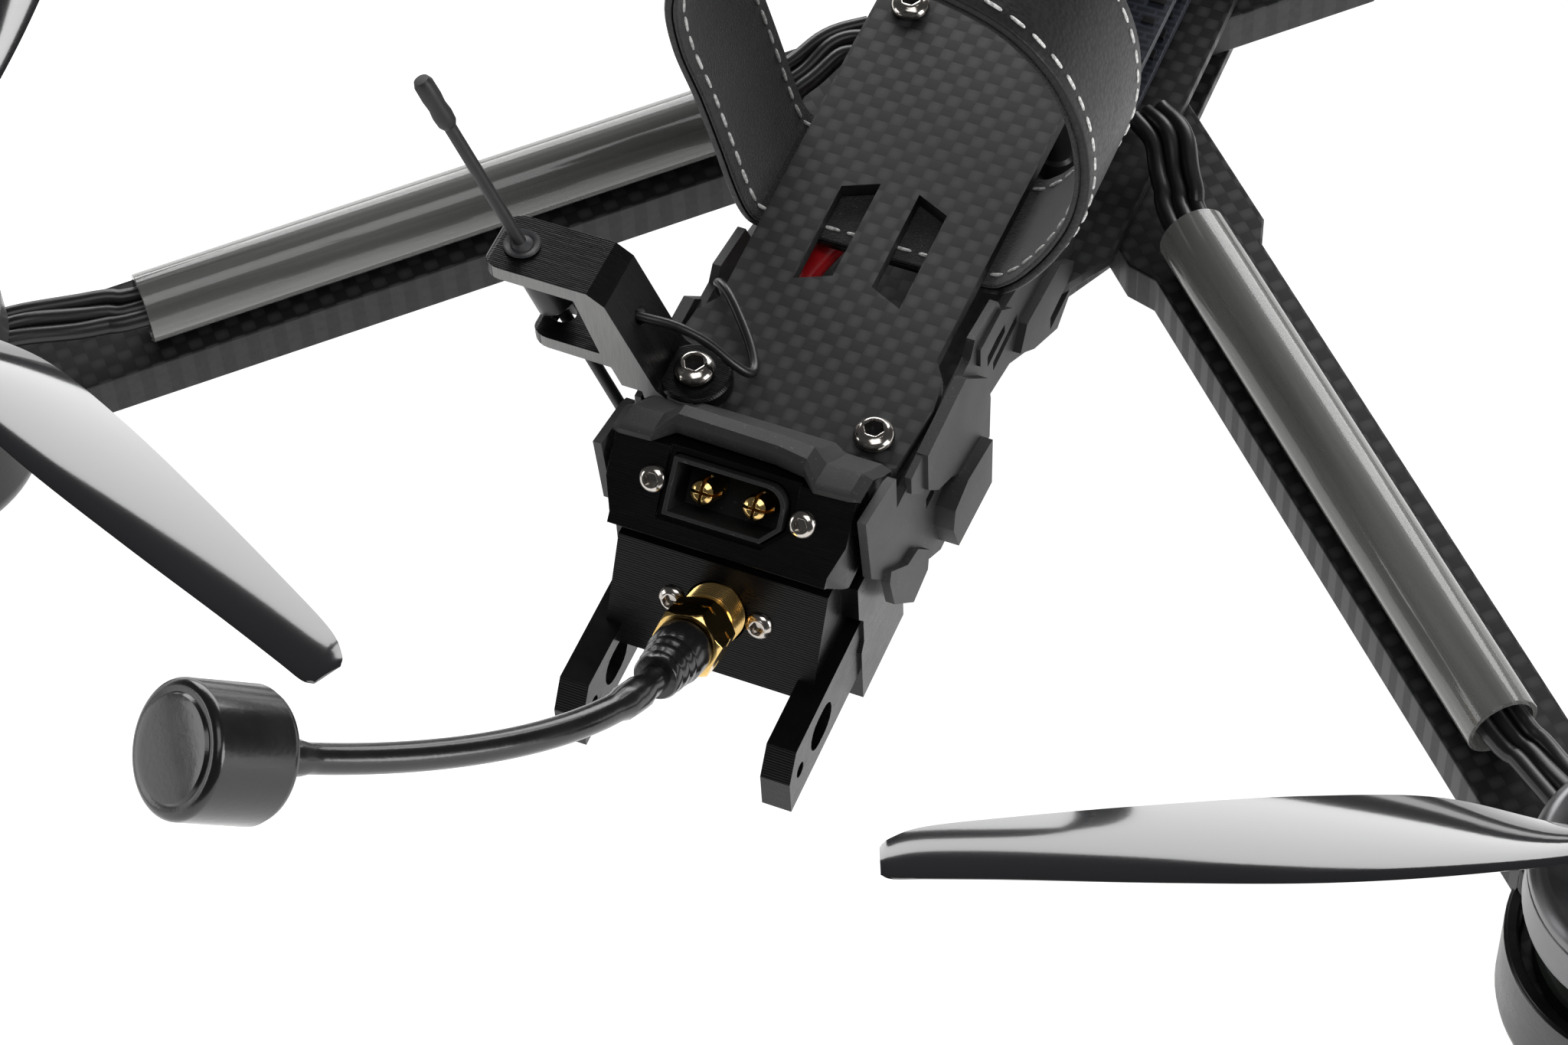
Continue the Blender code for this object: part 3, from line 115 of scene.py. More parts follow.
# ---- shader helpers
class Wire:  # one socket, with the operators that the finishes use
    def __init__(self, shader, socket):
        self.shader, self.socket = shader, socket

    def math(self, operation, first, second=None):
        values = {0: first} if second is None else {0: first, 1: second}
        return self.shader.node("ShaderNodeMath", {"operation": operation}, values)

    def __add__(self, other):
        return self.math("ADD", self, other)

    def __sub__(self, other):
        return self.math("SUBTRACT", self, other)

    def __rsub__(self, other):
        return self.math("SUBTRACT", other, self)

    def __mul__(self, other):
        return self.math("MULTIPLY", self, other)

    def __truediv__(self, other):
        return self.math("DIVIDE", self, other)

    def __mod__(self, other):
        return self.math("FLOORED_MODULO", self, other)

    def __gt__(self, other):
        return self.math("GREATER_THAN", self, other)

    def __lt__(self, other):
        return self.math("LESS_THAN", self, other)

    def floor(self):
        return self.math("FLOOR", self)

    def sine(self):
        return self.math("SINE", self)

    def size(self):
        return self.math("ABSOLUTE", self)

    __radd__ = __add__
    __rmul__ = __mul__


class Shader:
    def __init__(self, name, **fixed):
        self.material = bpy.data.materials.new(name)
        self.material.use_nodes = True
        self.tree = self.material.node_tree
        self.surface = self.tree.nodes["Principled BSDF"]
        for label, value in fixed.items():
            self.surface.inputs[label.replace("_", " ")].default_value = value

    def node(self, kind, settings=None, values=None, out=0):
        made = self.tree.nodes.new(kind)
        for label, value in (settings or {}).items():
            if label == "stops":
                ramp = made.color_ramp
                while len(ramp.elements) < len(value):
                    ramp.elements.new(0.5)
                for stop, (place, shade) in zip(ramp.elements, value):
                    stop.position = place
                    stop.color = (*shade, 1.0)
            else:
                setattr(made, label, value)
        for label, value in (values or {}).items():
            if isinstance(value, Wire):
                self.tree.links.new(value.socket, made.inputs[label])
            else:
                made.inputs[label].default_value = value
        return Wire(self, made.outputs[out])

    def place(self, turn=0.0):
        spot = self.node("ShaderNodeTexCoord", out="Object")
        if not turn:
            return spot
        return self.node("ShaderNodeMapping", values={"Vector": spot, "Rotation": (0, 0, math.radians(turn))})

    def axes(self, vector):
        return [self.node("ShaderNodeSeparateXYZ", values={"Vector": vector}, out=i) for i in range(3)]

    def facing(self):
        return self.axes(self.node("ShaderNodeNewGeometry", out="Normal"))

    def noise(self, vector, perMetre, detail=2.0, rough=0.5):
        return self.node("ShaderNodeTexNoise", values={"Vector": vector, "Scale": perMetre, "Detail": detail,
                                                       "Roughness": rough})

    def stretched(self, vector, scale):
        return self.node("ShaderNodeMapping", values={"Vector": vector, "Scale": scale})

    def mix(self, share, low, high):
        values = {"Factor": share, 6: (*low, 1.0) if isinstance(low, tuple) else low,
                  7: (*high, 1.0) if isinstance(high, tuple) else high}
        return self.node("ShaderNodeMix", {"data_type": "RGBA", "clamp_factor": True}, values, out=2)

    def between(self, share, low, high):
        return self.node("ShaderNodeMapRange", {"clamp": True}, {"Value": share, "To Min": low, "To Max": high})

    def bump(self, height, depth, strength=1.0):
        return self.node("ShaderNodeBump", values={"Height": height, "Distance": depth * mm,
                                                   "Strength": strength})

    def finish(self, **wires):
        for label, wire in wires.items():
            self.tree.links.new(wire.socket, self.surface.inputs[label.replace("_", " ")])
        return self.material


# weave colours: dark is the carbon itself, pale is a painted sheen on the crowns of the tows that lie lengthwise on top
weave = {"tow": 1.95, "layer": 0.26, "dark": (0.004, 0.004, 0.0045), "pale": (0.05, 0.05, 0.052), "lift": 0.05}


def wovenCarbon(name, turn=0.0):
    s = Shader(name, Specular_IOR_Level=0.3)
    spot = s.place(turn)
    x, y, z = s.axes(spot)
    u, v = x / (weave["tow"] * mm), y / (weave["tow"] * mm)
    over = (u.floor() + v.floor()) % 2.0  # 1 where the lengthwise tow lies on top
    du, dv = u % 1.0 - 0.5, v % 1.0 - 0.5
    crownU, crownV = 1.0 - du * du * 4.0, 1.0 - dv * dv * 4.0
    crown = over * (crownU * 0.7 + crownV * 0.3) + (1.0 - over) * (crownV * 0.7 + crownU * 0.3)
    fibreU = s.noise(s.stretched(spot, (6000, 500, 1)), 1.0, 1.0)
    fibreV = s.noise(s.stretched(spot, (500, 6000, 1)), 1.0, 1.0)
    fibre = over * fibreU + (1.0 - over) * fibreV
    drift = s.noise(spot, 60.0, 3.0)
    flat = s.facing()[2].size() > 0.6
    # the lengthwise tows on top are painted paler towards their crowns: painted sheen for their reflection along the
    # fibre; fibre and drift add real tone
    weaveToneAndSheen = over * crown * 0.62 + fibre * 0.2 + drift * 0.2 - 0.12
    face = s.mix(weaveToneAndSheen, weave["dark"], weave["pale"])
    plies = (z / (weave["layer"] * mm) % 1.0 - 0.5).size()
    side = s.mix(plies + s.noise(spot, 900.0), (0.008, 0.008, 0.009), (0.03, 0.03, 0.032))
    colour = s.mix(flat, side, face)
    height = flat * (crown + fibre * 0.15) + (1.0 - flat) * plies * 0.4
    rough = s.between(over * 0.6 + drift * 0.4, 0.6, 0.4)
    return s.finish(Base_Color=colour, Roughness=rough, Normal=s.bump(height, weave["lift"], 0.3))


def printedPlastic(name, axis=2, layer=0.3, tint=(0.0018, 0.0018, 0.002), flatSide=None, sheen=0.22):
    s = Shader(name, Specular_IOR_Level=sheen)
    spot = s.place()
    along = s.axes(spot)[axis]
    beat = (along * (2 * math.pi / (layer * mm))).sine()
    squeeze = [260.0, 260.0, 260.0]
    squeeze[axis] = 4200.0
    strands = s.noise(s.stretched(spot, squeeze), 1.0, 3.0, 0.6)
    patches = s.noise(spot, 160.0, 3.0)
    rough = s.between(strands * 0.5 + patches * 0.5, 0.16, 0.42)
    colour = s.mix(strands, tint, tuple(2.4 * c for c in tint))
    if flatSide:  # the face that lay on the printer's bed is paler and even
        turned = s.facing()[flatSide["axis"]] * flatSide["sign"]
        bed = turned > 0.93
        hatch = s.noise(s.stretched(s.place(38), (300, 9000, 300)), 1.0, 2.0)
        colour = s.mix(bed, colour, s.mix(hatch, (0.2, 0.2, 0.2), (0.34, 0.335, 0.33)))
        rough = s.between(bed, rough, 0.4)
    height = beat * 0.5 + strands * 1.6 + patches * 0.5
    return s.finish(Base_Color=colour, Roughness=rough, Normal=s.bump(height, 0.02, 0.55))


def grainedMoulding(name, pale=1.0):
    s = Shader(name, Specular_IOR_Level=0.35)
    spot = s.place()
    grain = s.noise(spot, 3600.0, 4.0, 0.7)
    smear = s.noise(spot, 70.0, 4.0, 0.6)
    dust = s.noise(spot, 1500.0, 2.0) > 0.68
    low, high = tuple(pale * c for c in (0.014, 0.014, 0.0145)), tuple(pale * c for c in (0.034, 0.034, 0.034))
    colour = s.mix(dust * 0.35, s.mix(smear * 0.7 + grain * 0.3, low, high), (0.1, 0.1, 0.1))
    rough = s.between(smear, 0.62, 0.46)
    return s.finish(Base_Color=colour, Roughness=rough, Normal=s.bump(grain, 0.06, 0.55))


def turnedMetal(name, low, high, rough, metallic=1.0):
    s = Shader(name, Metallic=metallic)
    spot = s.place()
    cloud = s.noise(spot, 420.0, 4.0, 0.6)
    scratch = s.noise(s.stretched(spot, (400, 400, 9000)), 1.0, 2.0)
    colour = s.mix(cloud * 0.6 + scratch * 0.4, low, high)
    return s.finish(Base_Color=colour, Roughness=s.between(cloud * 0.5 + scratch * 0.5, rough * 0.7, rough * 1.4),
                    Normal=s.bump(scratch, 0.01, 0.3))


def smoothPlastic(name, low, high, rough, coat=0.0, mottling=120.0, orangePeel=0.02):
    s = Shader(name, Coat_Weight=coat, Coat_Roughness=0.06)
    spot = s.place()
    cloud = s.noise(spot, mottling, 4.0, 0.55)
    skin = s.noise(spot, 1400.0, 2.0)
    return s.finish(Base_Color=s.mix(cloud, low, high), Roughness=s.between(cloud, rough * 0.75, rough * 1.25),
                    Normal=s.bump(skin, orangePeel, 0.4))


def clearSleeve(name, turn):
    s = Shader(name, Coat_Weight=0.6, Coat_Roughness=0.05)
    spot = s.place(turn)
    streakAndSheen = s.noise(s.stretched(spot, (14, 320, 320)), 1.0, 2.0, 0.5)
    scuff = s.noise(s.stretched(spot, (60, 300, 300)), 1.0, 2.0, 0.5)
    rim = s.node("ShaderNodeLayerWeight", values={"Blend": 0.35}, out="Facing")
    # the sleeve's colour is painted lighter along lengthwise streaks and towards grazing angles (rim): painted
    # reflections; the streaks also bump the surface
    colour = s.mix(streakAndSheen * 0.8 + rim * 0.3 - 0.1, (0.09, 0.091, 0.086), (0.4, 0.4, 0.385))
    alpha = s.between(streakAndSheen * 0.4 + rim * 0.6, 0.5, 0.9)
    return s.finish(Base_Color=colour, Roughness=s.between(scuff, 0.07, 0.2), Alpha=alpha,
                    Normal=s.bump(streakAndSheen, 0.05, 0.4))


def grainLeather(name):
    s = Shader(name, Specular_IOR_Level=0.35)
    spot = s.place()
    pebbles = s.node("ShaderNodeTexVoronoi", {"feature": "F1"}, {"Vector": spot, "Scale": 1500.0}, out="Distance")
    fold = s.noise(spot, 240.0, 4.0, 0.6)
    height = pebbles * 0.8 + fold * 0.5
    colour = s.mix(fold, (0.003, 0.003, 0.0035), (0.009, 0.009, 0.0095))
    return s.finish(Base_Color=colour, Roughness=s.between(pebbles * 0.6 + fold * 0.4, 0.36, 0.6),
                    Normal=s.bump(height, 0.08, 0.6))


def velvetPile(name):
    s = Shader(name, Sheen_Weight=0.35, Sheen_Roughness=0.4)
    spot = s.place()
    tufts = s.noise(spot, 2600.0, 4.0, 0.8)
    nap = s.noise(spot, 130.0, 3.0)
    lint = s.noise(spot, 1700.0, 2.0) > 0.74
    colour = s.mix(lint * 0.5, s.mix(nap, (0.004, 0.004, 0.0045), (0.016, 0.016, 0.017)), (0.25, 0.25, 0.24))
    return s.finish(Base_Color=colour, Roughness=s.between(tufts, 0.8, 1.0), Normal=s.bump(tufts, 0.35, 0.9))


def twistedThread(name):
    s = Shader(name)
    spot = s.place()
    twist = (s.noise(spot, 1200.0, 3.0) * 18.0).sine()
    # the white thread is painted darker in the troughs of its twist: painted shade in the grooves between the plies
    return s.finish(Base_Color=s.mix(twist * 0.5 + 0.5, (0.5, 0.5, 0.49), (0.88, 0.88, 0.86)),
                    Roughness=s.between(twist, 0.6, 0.8), Normal=s.bump(twist, 0.05, 0.5))


def solderMask(name):
    s = Shader(name, Coat_Weight=0.3)
    spot = s.place()
    tracks = s.node("ShaderNodeTexBrick", {"offset": 0.37},
                    {"Vector": spot, "Scale": 1.0, "Mortar Size": 0.00022, "Brick Width": 0.0031, "Row Height": 0.0012},
                    out="Fac")
    cloud = s.noise(spot, 150.0, 3.0)
    return s.finish(Base_Color=s.mix(tracks * 0.6 + cloud * 0.3, (0.006, 0.007, 0.012), (0.035, 0.04, 0.06)),
                    Roughness=s.between(cloud, 0.3, 0.5), Normal=s.bump(tracks, 0.02, 0.6))


finishes = {
    "plateCarbon": wovenCarbon("plate_carbon"),
    "armCarbon": wovenCarbon("arm_carbon", 45.0),
    "printed": printedPlastic("printed_black"),
    "forkPrinted": printedPlastic("printed_fork", axis=1, flatSide={"axis": 1, "sign": -1}),
    "footPrinted": printedPlastic("printed_foot", layer=0.35, sheen=0.32),
    "moulded": grainedMoulding("moulded_black", 0.75),
    "panel": grainedMoulding("moulded_panel", 0.95),
    "plugShell": grainedMoulding("plug_shell", 0.6),
    "steel": turnedMetal("polished_steel", (0.4, 0.37, 0.34), (0.62, 0.585, 0.55), 0.15),
    "bell": turnedMetal("motor_bell", (0.1, 0.1, 0.105), (0.2, 0.2, 0.205), 0.3, 0.85),
    "blackAlloy": turnedMetal("black_alloy", (0.012, 0.012, 0.013), (0.035, 0.035, 0.037), 0.34, 0.6),
    "magnets": turnedMetal("magnets", (0.3, 0.3, 0.29), (0.5, 0.5, 0.48), 0.3),
    "copper": turnedMetal("windings", (0.16, 0.05, 0.016), (0.34, 0.12, 0.04), 0.35, 0.9),
    "stator": smoothPlastic("stator_coating", (0.008, 0.012, 0.009), (0.025, 0.034, 0.026), 0.5),
    "gold": turnedMetal("gold_plate", (0.66, 0.4, 0.12), (0.95, 0.7, 0.3), 0.16),
    "blade": smoothPlastic("smoked_blade", (0.011, 0.0115, 0.013), (0.026, 0.026, 0.029), 0.1, 1.0, 18.0, 0.006),
    "silicone": smoothPlastic("silicone_black", (0.004, 0.004, 0.0045), (0.014, 0.014, 0.015), 0.34),
    "siliconeRed": smoothPlastic("silicone_red", (0.42, 0.004, 0.008), (0.68, 0.012, 0.018), 0.3),
    "shrink": smoothPlastic("shrink_sleeve", (0.005, 0.005, 0.0055), (0.014, 0.014, 0.015), 0.22, 0.2, 260.0, 0.05),
    "matteRubber": smoothPlastic("matte_rubber", (0.006, 0.006, 0.0065), (0.016, 0.016, 0.017), 0.5, 0.0, 300.0, 0.05),
    "greyRubber": smoothPlastic("grey_rubber", (0.018, 0.019, 0.021), (0.05, 0.051, 0.055), 0.5, 0.0, 300.0, 0.05),
    "lensGlass": smoothPlastic("lens_glass", (0.004, 0.006, 0.012), (0.012, 0.014, 0.03), 0.05, 1.0),
    "board": solderMask("solder_mask"),
    "leather": grainLeather("strap_leather"),
    "velvet": velvetPile("strap_lining"),
    "thread": twistedThread("white_thread"),
}
for name, (sx, sy) in corners.items():
    finishes["sleeve_" + name] = clearSleeve("clear_sleeve_" + name, -math.degrees(math.atan2(sy, sx)))
print("finishes made:", len(finishes))


# ---- mesh helpers
def link(name, data):
    obj = bpy.data.objects.new(name, data)
    bpy.context.scene.collection.objects.link(obj)
    return obj


def plain(obj):  # whatever the object is now, as a mesh with its place in its points
    bpy.context.view_layer.update()
    graph = bpy.context.evaluated_depsgraph_get()
    mesh = bpy.data.meshes.new_from_object(obj.evaluated_get(graph), depsgraph=graph)
    mesh.transform(obj.matrix_world)
    name = obj.name
    bpy.data.objects.remove(obj)
    return link(name, mesh)


def settled(name, work, outward=True):  # a finished bmesh as an object
    if outward:
        bmesh.ops.recalc_face_normals(work, faces=work.faces)
    mesh = bpy.data.meshes.new(name)
    work.to_mesh(mesh)
    work.free()
    return link(name, mesh)


def tidied(obj, merge=0.00001, flatten=False):
    work = bmesh.new()
    work.from_mesh(obj.data)
    bmesh.ops.remove_doubles(work, verts=work.verts, dist=merge)
    if flatten:
        bmesh.ops.dissolve_limit(work, angle_limit=math.radians(0.8), verts=work.verts, edges=work.edges)
    bmesh.ops.recalc_face_normals(work, faces=work.faces)
    work.to_mesh(obj.data)
    work.free()
    return obj


def eased(obj, width, segments=2, angle=32.0):  # a small rounded edge, so that it catches light
    bevel = obj.modifiers.new("edge", "BEVEL")
    bevel.width = width * mm
    bevel.segments = segments
    bevel.limit_method = "ANGLE"
    bevel.angle_limit = math.radians(angle)
    bevel.miter_outer = "MITER_ARC"
    return plain(obj)


def carved(obj, join=(), cut=()):
    for operation, tools in (("UNION", join), ("DIFFERENCE", cut)):
        for tool in tools:
            change = obj.modifiers.new("carve", "BOOLEAN")
            change.operation = operation
            change.object = tool
    made = plain(obj)
    for tool in (*join, *cut):
        bpy.data.objects.remove(tool)
    return tidied(made)


def joined(name, pieces):
    work = bmesh.new()
    for piece in pieces:
        work.from_mesh(piece.data)
        bpy.data.objects.remove(piece)
    return settled(name, work, outward=False)


def arc(centre, radius, start, end, steps):
    turns = [math.radians(start + (end - start) * i / steps) for i in range(steps + 1)]
    return [(centre[0] + radius * math.cos(a), centre[1] + radius * math.sin(a)) for a in turns]


def hexagon(reach, turn=0):
    return arc((0, 0), reach, turn, turn + 300, 5)


def flat(name, outline, low, high, holes=(), place=None):
    shape = bpy.data.curves.new(name, "CURVE")
    shape.dimensions = "2D"
    shape.fill_mode = "BOTH"
    shape.extrude = (high - low) / 2 * mm
    for loop in (outline, *holes):
        spline = shape.splines.new("POLY")
        spline.points.add(len(loop) - 1)
        for point, (x, y) in zip(spline.points, loop):
            point.co = (x * mm, y * mm, 0, 1)
        spline.use_cyclic_u = True
    obj = link(name, shape)
    obj.matrix_world = (place or Matrix()) @ Matrix.Translation((0, 0, (low + high) / 2 * mm))
    return tidied(plain(obj))


alongX = Matrix(((0, 0, 1, 0), (1, 0, 0, 0), (0, 1, 0, 0), (0, 0, 0, 1)))  # outline in (y, z), raised along X
alongY = Matrix(((1, 0, 0, 0), (0, 0, -1, 0), (0, 1, 0, 0), (0, 0, 0, 1)))  # outline in (x, z), raised along -Y


def lathe(name, profile, steps=56, place=None, closed=False, turn=0.0):
    work = bmesh.new()
    rings = []
    for radius, height in profile:
        count = 1 if radius == 0 else steps
        ring = []
        for i in range(count):
            a = math.radians(turn) + 2 * math.pi * i / steps
            ring.append(work.verts.new((radius * mm * math.cos(a), radius * mm * math.sin(a), height * mm)))
        rings.append(ring)
    pairs = list(zip(rings, rings[1:])) + ([(rings[-1], rings[0])] if closed else [])
    for a, b in pairs:
        for i in range(steps):
            j = (i + 1) % steps
            loop = [a[i % len(a)], a[j % len(a)], b[j % len(b)], b[i % len(b)]]
            work.faces.new(list(dict.fromkeys(loop)))
    obj = settled(name, work)
    obj.data.transform(place or Matrix())
    return obj


def peg(name, radius, low, high, steps, place=None):
    return lathe(name, [(0, low), (radius, low), (radius, high), (0, high)], steps, place)


def upright(x, y):
    return Matrix.Translation((x * mm, y * mm, 0))


def curveAt(a, b, c, d, t):  # a smooth curve from b to c, led by a and d
    return 0.5 * (2 * b + (c - a) * t + (2 * a - 5 * b + 4 * c - d) * t * t + (3 * b - a - 3 * c + d) * t ** 3)


def smoothLine(points, perSpan, closed=False):
    points = [Vector(p) for p in points]
    ends = [points[-1], *points, points[0], points[1]] if closed else \
        [points[0] * 2 - points[1], *points, points[-1] * 2 - points[-2]]
    line = []
    for a, b, c, d in zip(ends, ends[1:], ends[2:], ends[3:]):
        line += [curveAt(a, b, c, d, i / perSpan) for i in range(perSpan)]
    if not closed:
        line.append(points[-1])
    return line


def hose(name, line, radius, sides=4, radii=None):
    shape = bpy.data.curves.new(name, "CURVE")
    shape.dimensions = "3D"
    shape.bevel_depth = radius * mm
    shape.bevel_resolution = sides
    shape.use_fill_caps = True
    spline = shape.splines.new("POLY")
    spline.points.add(len(line) - 1)
    for i, (point, spot) in enumerate(zip(spline.points, line)):
        point.co = (*(Vector(spot) * mm), 1)
        point.radius = radii[i] if radii else 1.0
    return tidied(plain(link(name, shape)))


def standing(centre, axis):  # local Z along axis, at centre in millimetres
    turn = Vector((0, 0, 1)).rotation_difference(Vector(axis)).to_matrix().to_4x4()
    return Matrix.Translation(Vector(centre) * mm) @ turn


def tailFace(centre, tilt):  # local X across, Y up the face, Z out of it
    a = math.radians(tilt)
    up, out = Vector((0, math.sin(a), math.cos(a))), Vector((0, -math.cos(a), math.sin(a)))
    turn = Matrix((Vector((1, 0, 0)), up, out)).transposed().to_4x4()
    return Matrix.Translation(Vector(centre) * mm) @ turn


def shown(obj, finish, slot, *cadNodes, smooth=35.0):
    obj.data.materials.clear()
    obj.data.materials.append(finishes[finish])
    obj.data.shade_smooth()
    obj.data.set_sharp_from_angle(angle=math.radians(smooth))
    evened = obj.modifiers.new("normals", "WEIGHTED_NORMAL")  # keeps big flat faces flat beside their eased edges
    evened.keep_sharp = True
    obj = plain(obj)
    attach(obj, nodes[cadNodes[0]]["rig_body"])
    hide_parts(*cadNodes)
    return obj


def dressed(node, finish, slot, width=0.25, segments=2, smooth=35.0):
    work = bmesh.new()
    work.from_mesh(nodes[node].data)
    obj = tidied(settled(node + "_shown", work, outward=False), flatten=True)
    return shown(eased(obj, width, segments), finish, slot, node, smooth=smooth)


# ---- geometry node trees for what repeats
def growTree(name, finish, asks, extras):  # what both trees share: one piece, set out, made real and painted
    tree = bpy.data.node_groups.new(name, "GeometryNodeTree")
    for label, kind in {"Geometry": "Geometry", "Piece": "Object", **asks}.items():
        tree.interface.new_socket(label, in_out="INPUT", socket_type="NodeSocket" + kind)
    tree.interface.new_socket("Geometry", in_out="OUTPUT", socket_type="NodeSocketGeometry")
    kinds = {"ask": "NodeGroupInput", "give": "NodeGroupOutput", "piece": "GeometryNodeObjectInfo",
             "turn": "FunctionNodeAlignRotationToVector", "copies": "GeometryNodeInstanceOnPoints",
             "real": "GeometryNodeRealizeInstances", "paint": "GeometryNodeSetMaterial", **extras}
    made = {label: tree.nodes.new(kind) for label, kind in kinds.items()}
    made["paint"].inputs["Material"].default_value = finishes[finish]
    return tree, made


def wired(tree, made, *wiring):
    shared = (("ask", "Piece", "piece", "Object"), ("piece", "Geometry", "copies", "Instance"),
              ("turn", 0, "copies", "Rotation"), ("copies", 0, "real", 0), ("real", 0, "paint", "Geometry"),
              ("paint", 0, "give", 0))
    for a, out, b, into in (*wiring, *shared):
        tree.links.new(made[a].outputs[out], made[b].inputs[into])
    return tree


def grown(obj, tree, **asked):  # the modifier's inputs are set by identifier
    change = obj.modifiers.new("grow", "NODES")
    change.node_group = tree
    for item in tree.interface.items_tree:
        if item.in_out == "INPUT" and item.name in asked:
            change[item.identifier] = asked[item.name]
    made = plain(obj)
    bpy.data.objects.remove(asked["Piece"])
    return made


def copiesTree(name, finish):  # copies of one piece on points, each turned to the point's own facing
    tree, made = growTree(name, finish, {"Size": "Float", "Uneven": "Float"},
                          {"facing": "GeometryNodeInputNamedAttribute", "chance": "FunctionNodeRandomValue",
                           "scale": "ShaderNodeMath"})
    made["facing"].data_type = "FLOAT_VECTOR"
    made["facing"].inputs["Name"].default_value = "facing"
    made["turn"].axis = "Z"
    made["scale"].operation = "MULTIPLY_ADD"
    made["chance"].inputs["Seed"].default_value = 7
    made["chance"].inputs[2].default_value = -1.0
    made["chance"].inputs[3].default_value = 1.0
    return wired(tree, made, ("ask", "Geometry", "copies", "Points"), ("facing", 0, "turn", "Vector"),
                 ("chance", 1, "scale", 0), ("ask", "Uneven", "scale", 1), ("ask", "Size", "scale", 2),
                 ("scale", 0, "copies", "Scale"))


def copies(name, piece, spots, finish, size=1.0, uneven=0.0):  # spots: (point, facing) in millimetres
    mesh = bpy.data.meshes.new(name)
    mesh.from_pydata([Vector(point) * mm for point, _ in spots], [], [])
    facing = mesh.attributes.new("facing", "FLOAT_VECTOR", "POINT")
    facing.data.foreach_set("vector", np.array([Vector(f).normalized() for _, f in spots], np.float32).ravel())
    return grown(link(name, mesh), copiesTree(name, finish), Piece=piece, Size=size, Uneven=uneven)


def ringTree(name, finish):  # one piece repeated round the Z axis
    tree, made = growTree(name, finish, {"Count": "Int", "Radius": "Float"},
                          {"circle": "GeometryNodeMeshCircle", "spot": "GeometryNodeInputPosition"})
    made["turn"].axis = "X"
    made["turn"].pivot_axis = "Z"
    return wired(tree, made, ("ask", "Count", "circle", "Vertices"), ("ask", "Radius", "circle", "Radius"),
                 ("circle", 0, "copies", "Points"), ("spot", 0, "turn", "Vector"))


def ring(name, piece, count, radius, finish):
    start = link(name, bpy.data.meshes.new(name))
    return grown(start, ringTree(name, finish), Piece=piece, Count=count, Radius=radius * mm)


motorOffset = 124.5


def atMotor(name, pattern, sx, sy):
    mesh = pattern.data.copy()
    mesh.transform(upright(sx * motorOffset, sy * motorOffset))
    return link(name, mesh)


def movedToMotor(name, pattern, sx, sy):
    piece = atMotor(name, pattern, sx, sy)
    bpy.data.objects.remove(pattern)
    return piece


# ---- plates and arms
for node in ("belly_plate", "mid_plate", "top_plate"):
    dressed(node, "plateCarbon", "carbon", 0.22)
for name in corners:
    dressed("arm_" + name, "armCarbon", "carbon", 0.35)
print("plates and arms dressed")

# ---- screws
screw = {"radius": 2.75, "height": 1.75, "socket": 1.38, "depth": 1.4, "small": 0.68}


def buttonHead(name):
    r, h = screw["radius"], screw["height"]
    dome = [(0, 0), (r * 0.93, 0), (r, h * 0.07), (r, h * 0.22)]
    dome += [(r * math.cos(a) * 0.98, h * (0.24 + 0.76 * math.sin(a))) for a in np.radians(range(12, 58, 7))]
    dome += [(screw["socket"] * 1.3, h * 0.99), (0, h * 0.99)]
    head = lathe(name, dome, 40)
    key = hexagon(screw["socket"])
    return eased(carved(head, cut=[flat("key", key, h - screw["depth"], h + 1)]), 0.08, 2, 40)


plug = {"centre": (0, -120.6, 39.9), "tilt": 41.0, "screwX": 10.25, "halfWidth": 7.9, "halfHeight": 3.9, "wall": 0.6,
        "depth": 8.6, "floor": 2.6, "rim": 0.9, "pinX": 3.6, "pinRadius": 1.75}
jack = {"centre": (0, -126.5, 23.6), "tilt": 27.0, "screwX": 6.1, "radius": 4.1, "length": 4.6, "nut": 8.6,
        "nutHeight": 5.6, "bootLength": 9.5, "stalk": 1.9}
plugFace, jackFace = tailFace(plug["centre"], plug["tilt"]), tailFace(jack["centre"], jack["tilt"])
topZ, gap, forkFoot = 36.4, 0.3, 2.5
bay = {"low": 11.9, "high": 34.1}
rearPost, midPost, nosePost = (12.5, -102), (11, -29.5), (11.3, 66.9)
up = (0, 0, 1)
deckHeads = [((*rearPost, topZ + gap), up), ((*midPost, topZ + gap), up), ((-midPost[0], midPost[1], topZ + gap), up),
             ((-rearPost[0], rearPost[1], topZ + gap + forkFoot), up), ((*nosePost, topZ + gap), up),
             ((-nosePost[0], nosePost[1], topZ + gap), up)]
for sx, sy in corners.values():
    for along in (13.0, 27.0):
        deckHeads.append(((sx * along * 0.7071, sy * along * 0.7071, 0.0), (0, 0, -1)))
screws = copies("deck_screws", buttonHead("head"), deckHeads, "steel")
shown(screws, "steel", "steel", "standoff_rear_right", "standoff_rear_left", "standoff_mid_right",
      "standoff_mid_left", smooth=30.0)
smallHeads = []
for face, across in ((plugFace, plug["screwX"]), (jackFace, jack["screwX"])):
    for side in (-1, 1):
        smallHeads.append(((face @ Vector((side * across * mm, 0, -0.2 * mm))) / mm, face.col[2].to_3d()))
tailScrews = copies("tail_screws", buttonHead("head"), smallHeads, "steel", screw["small"])

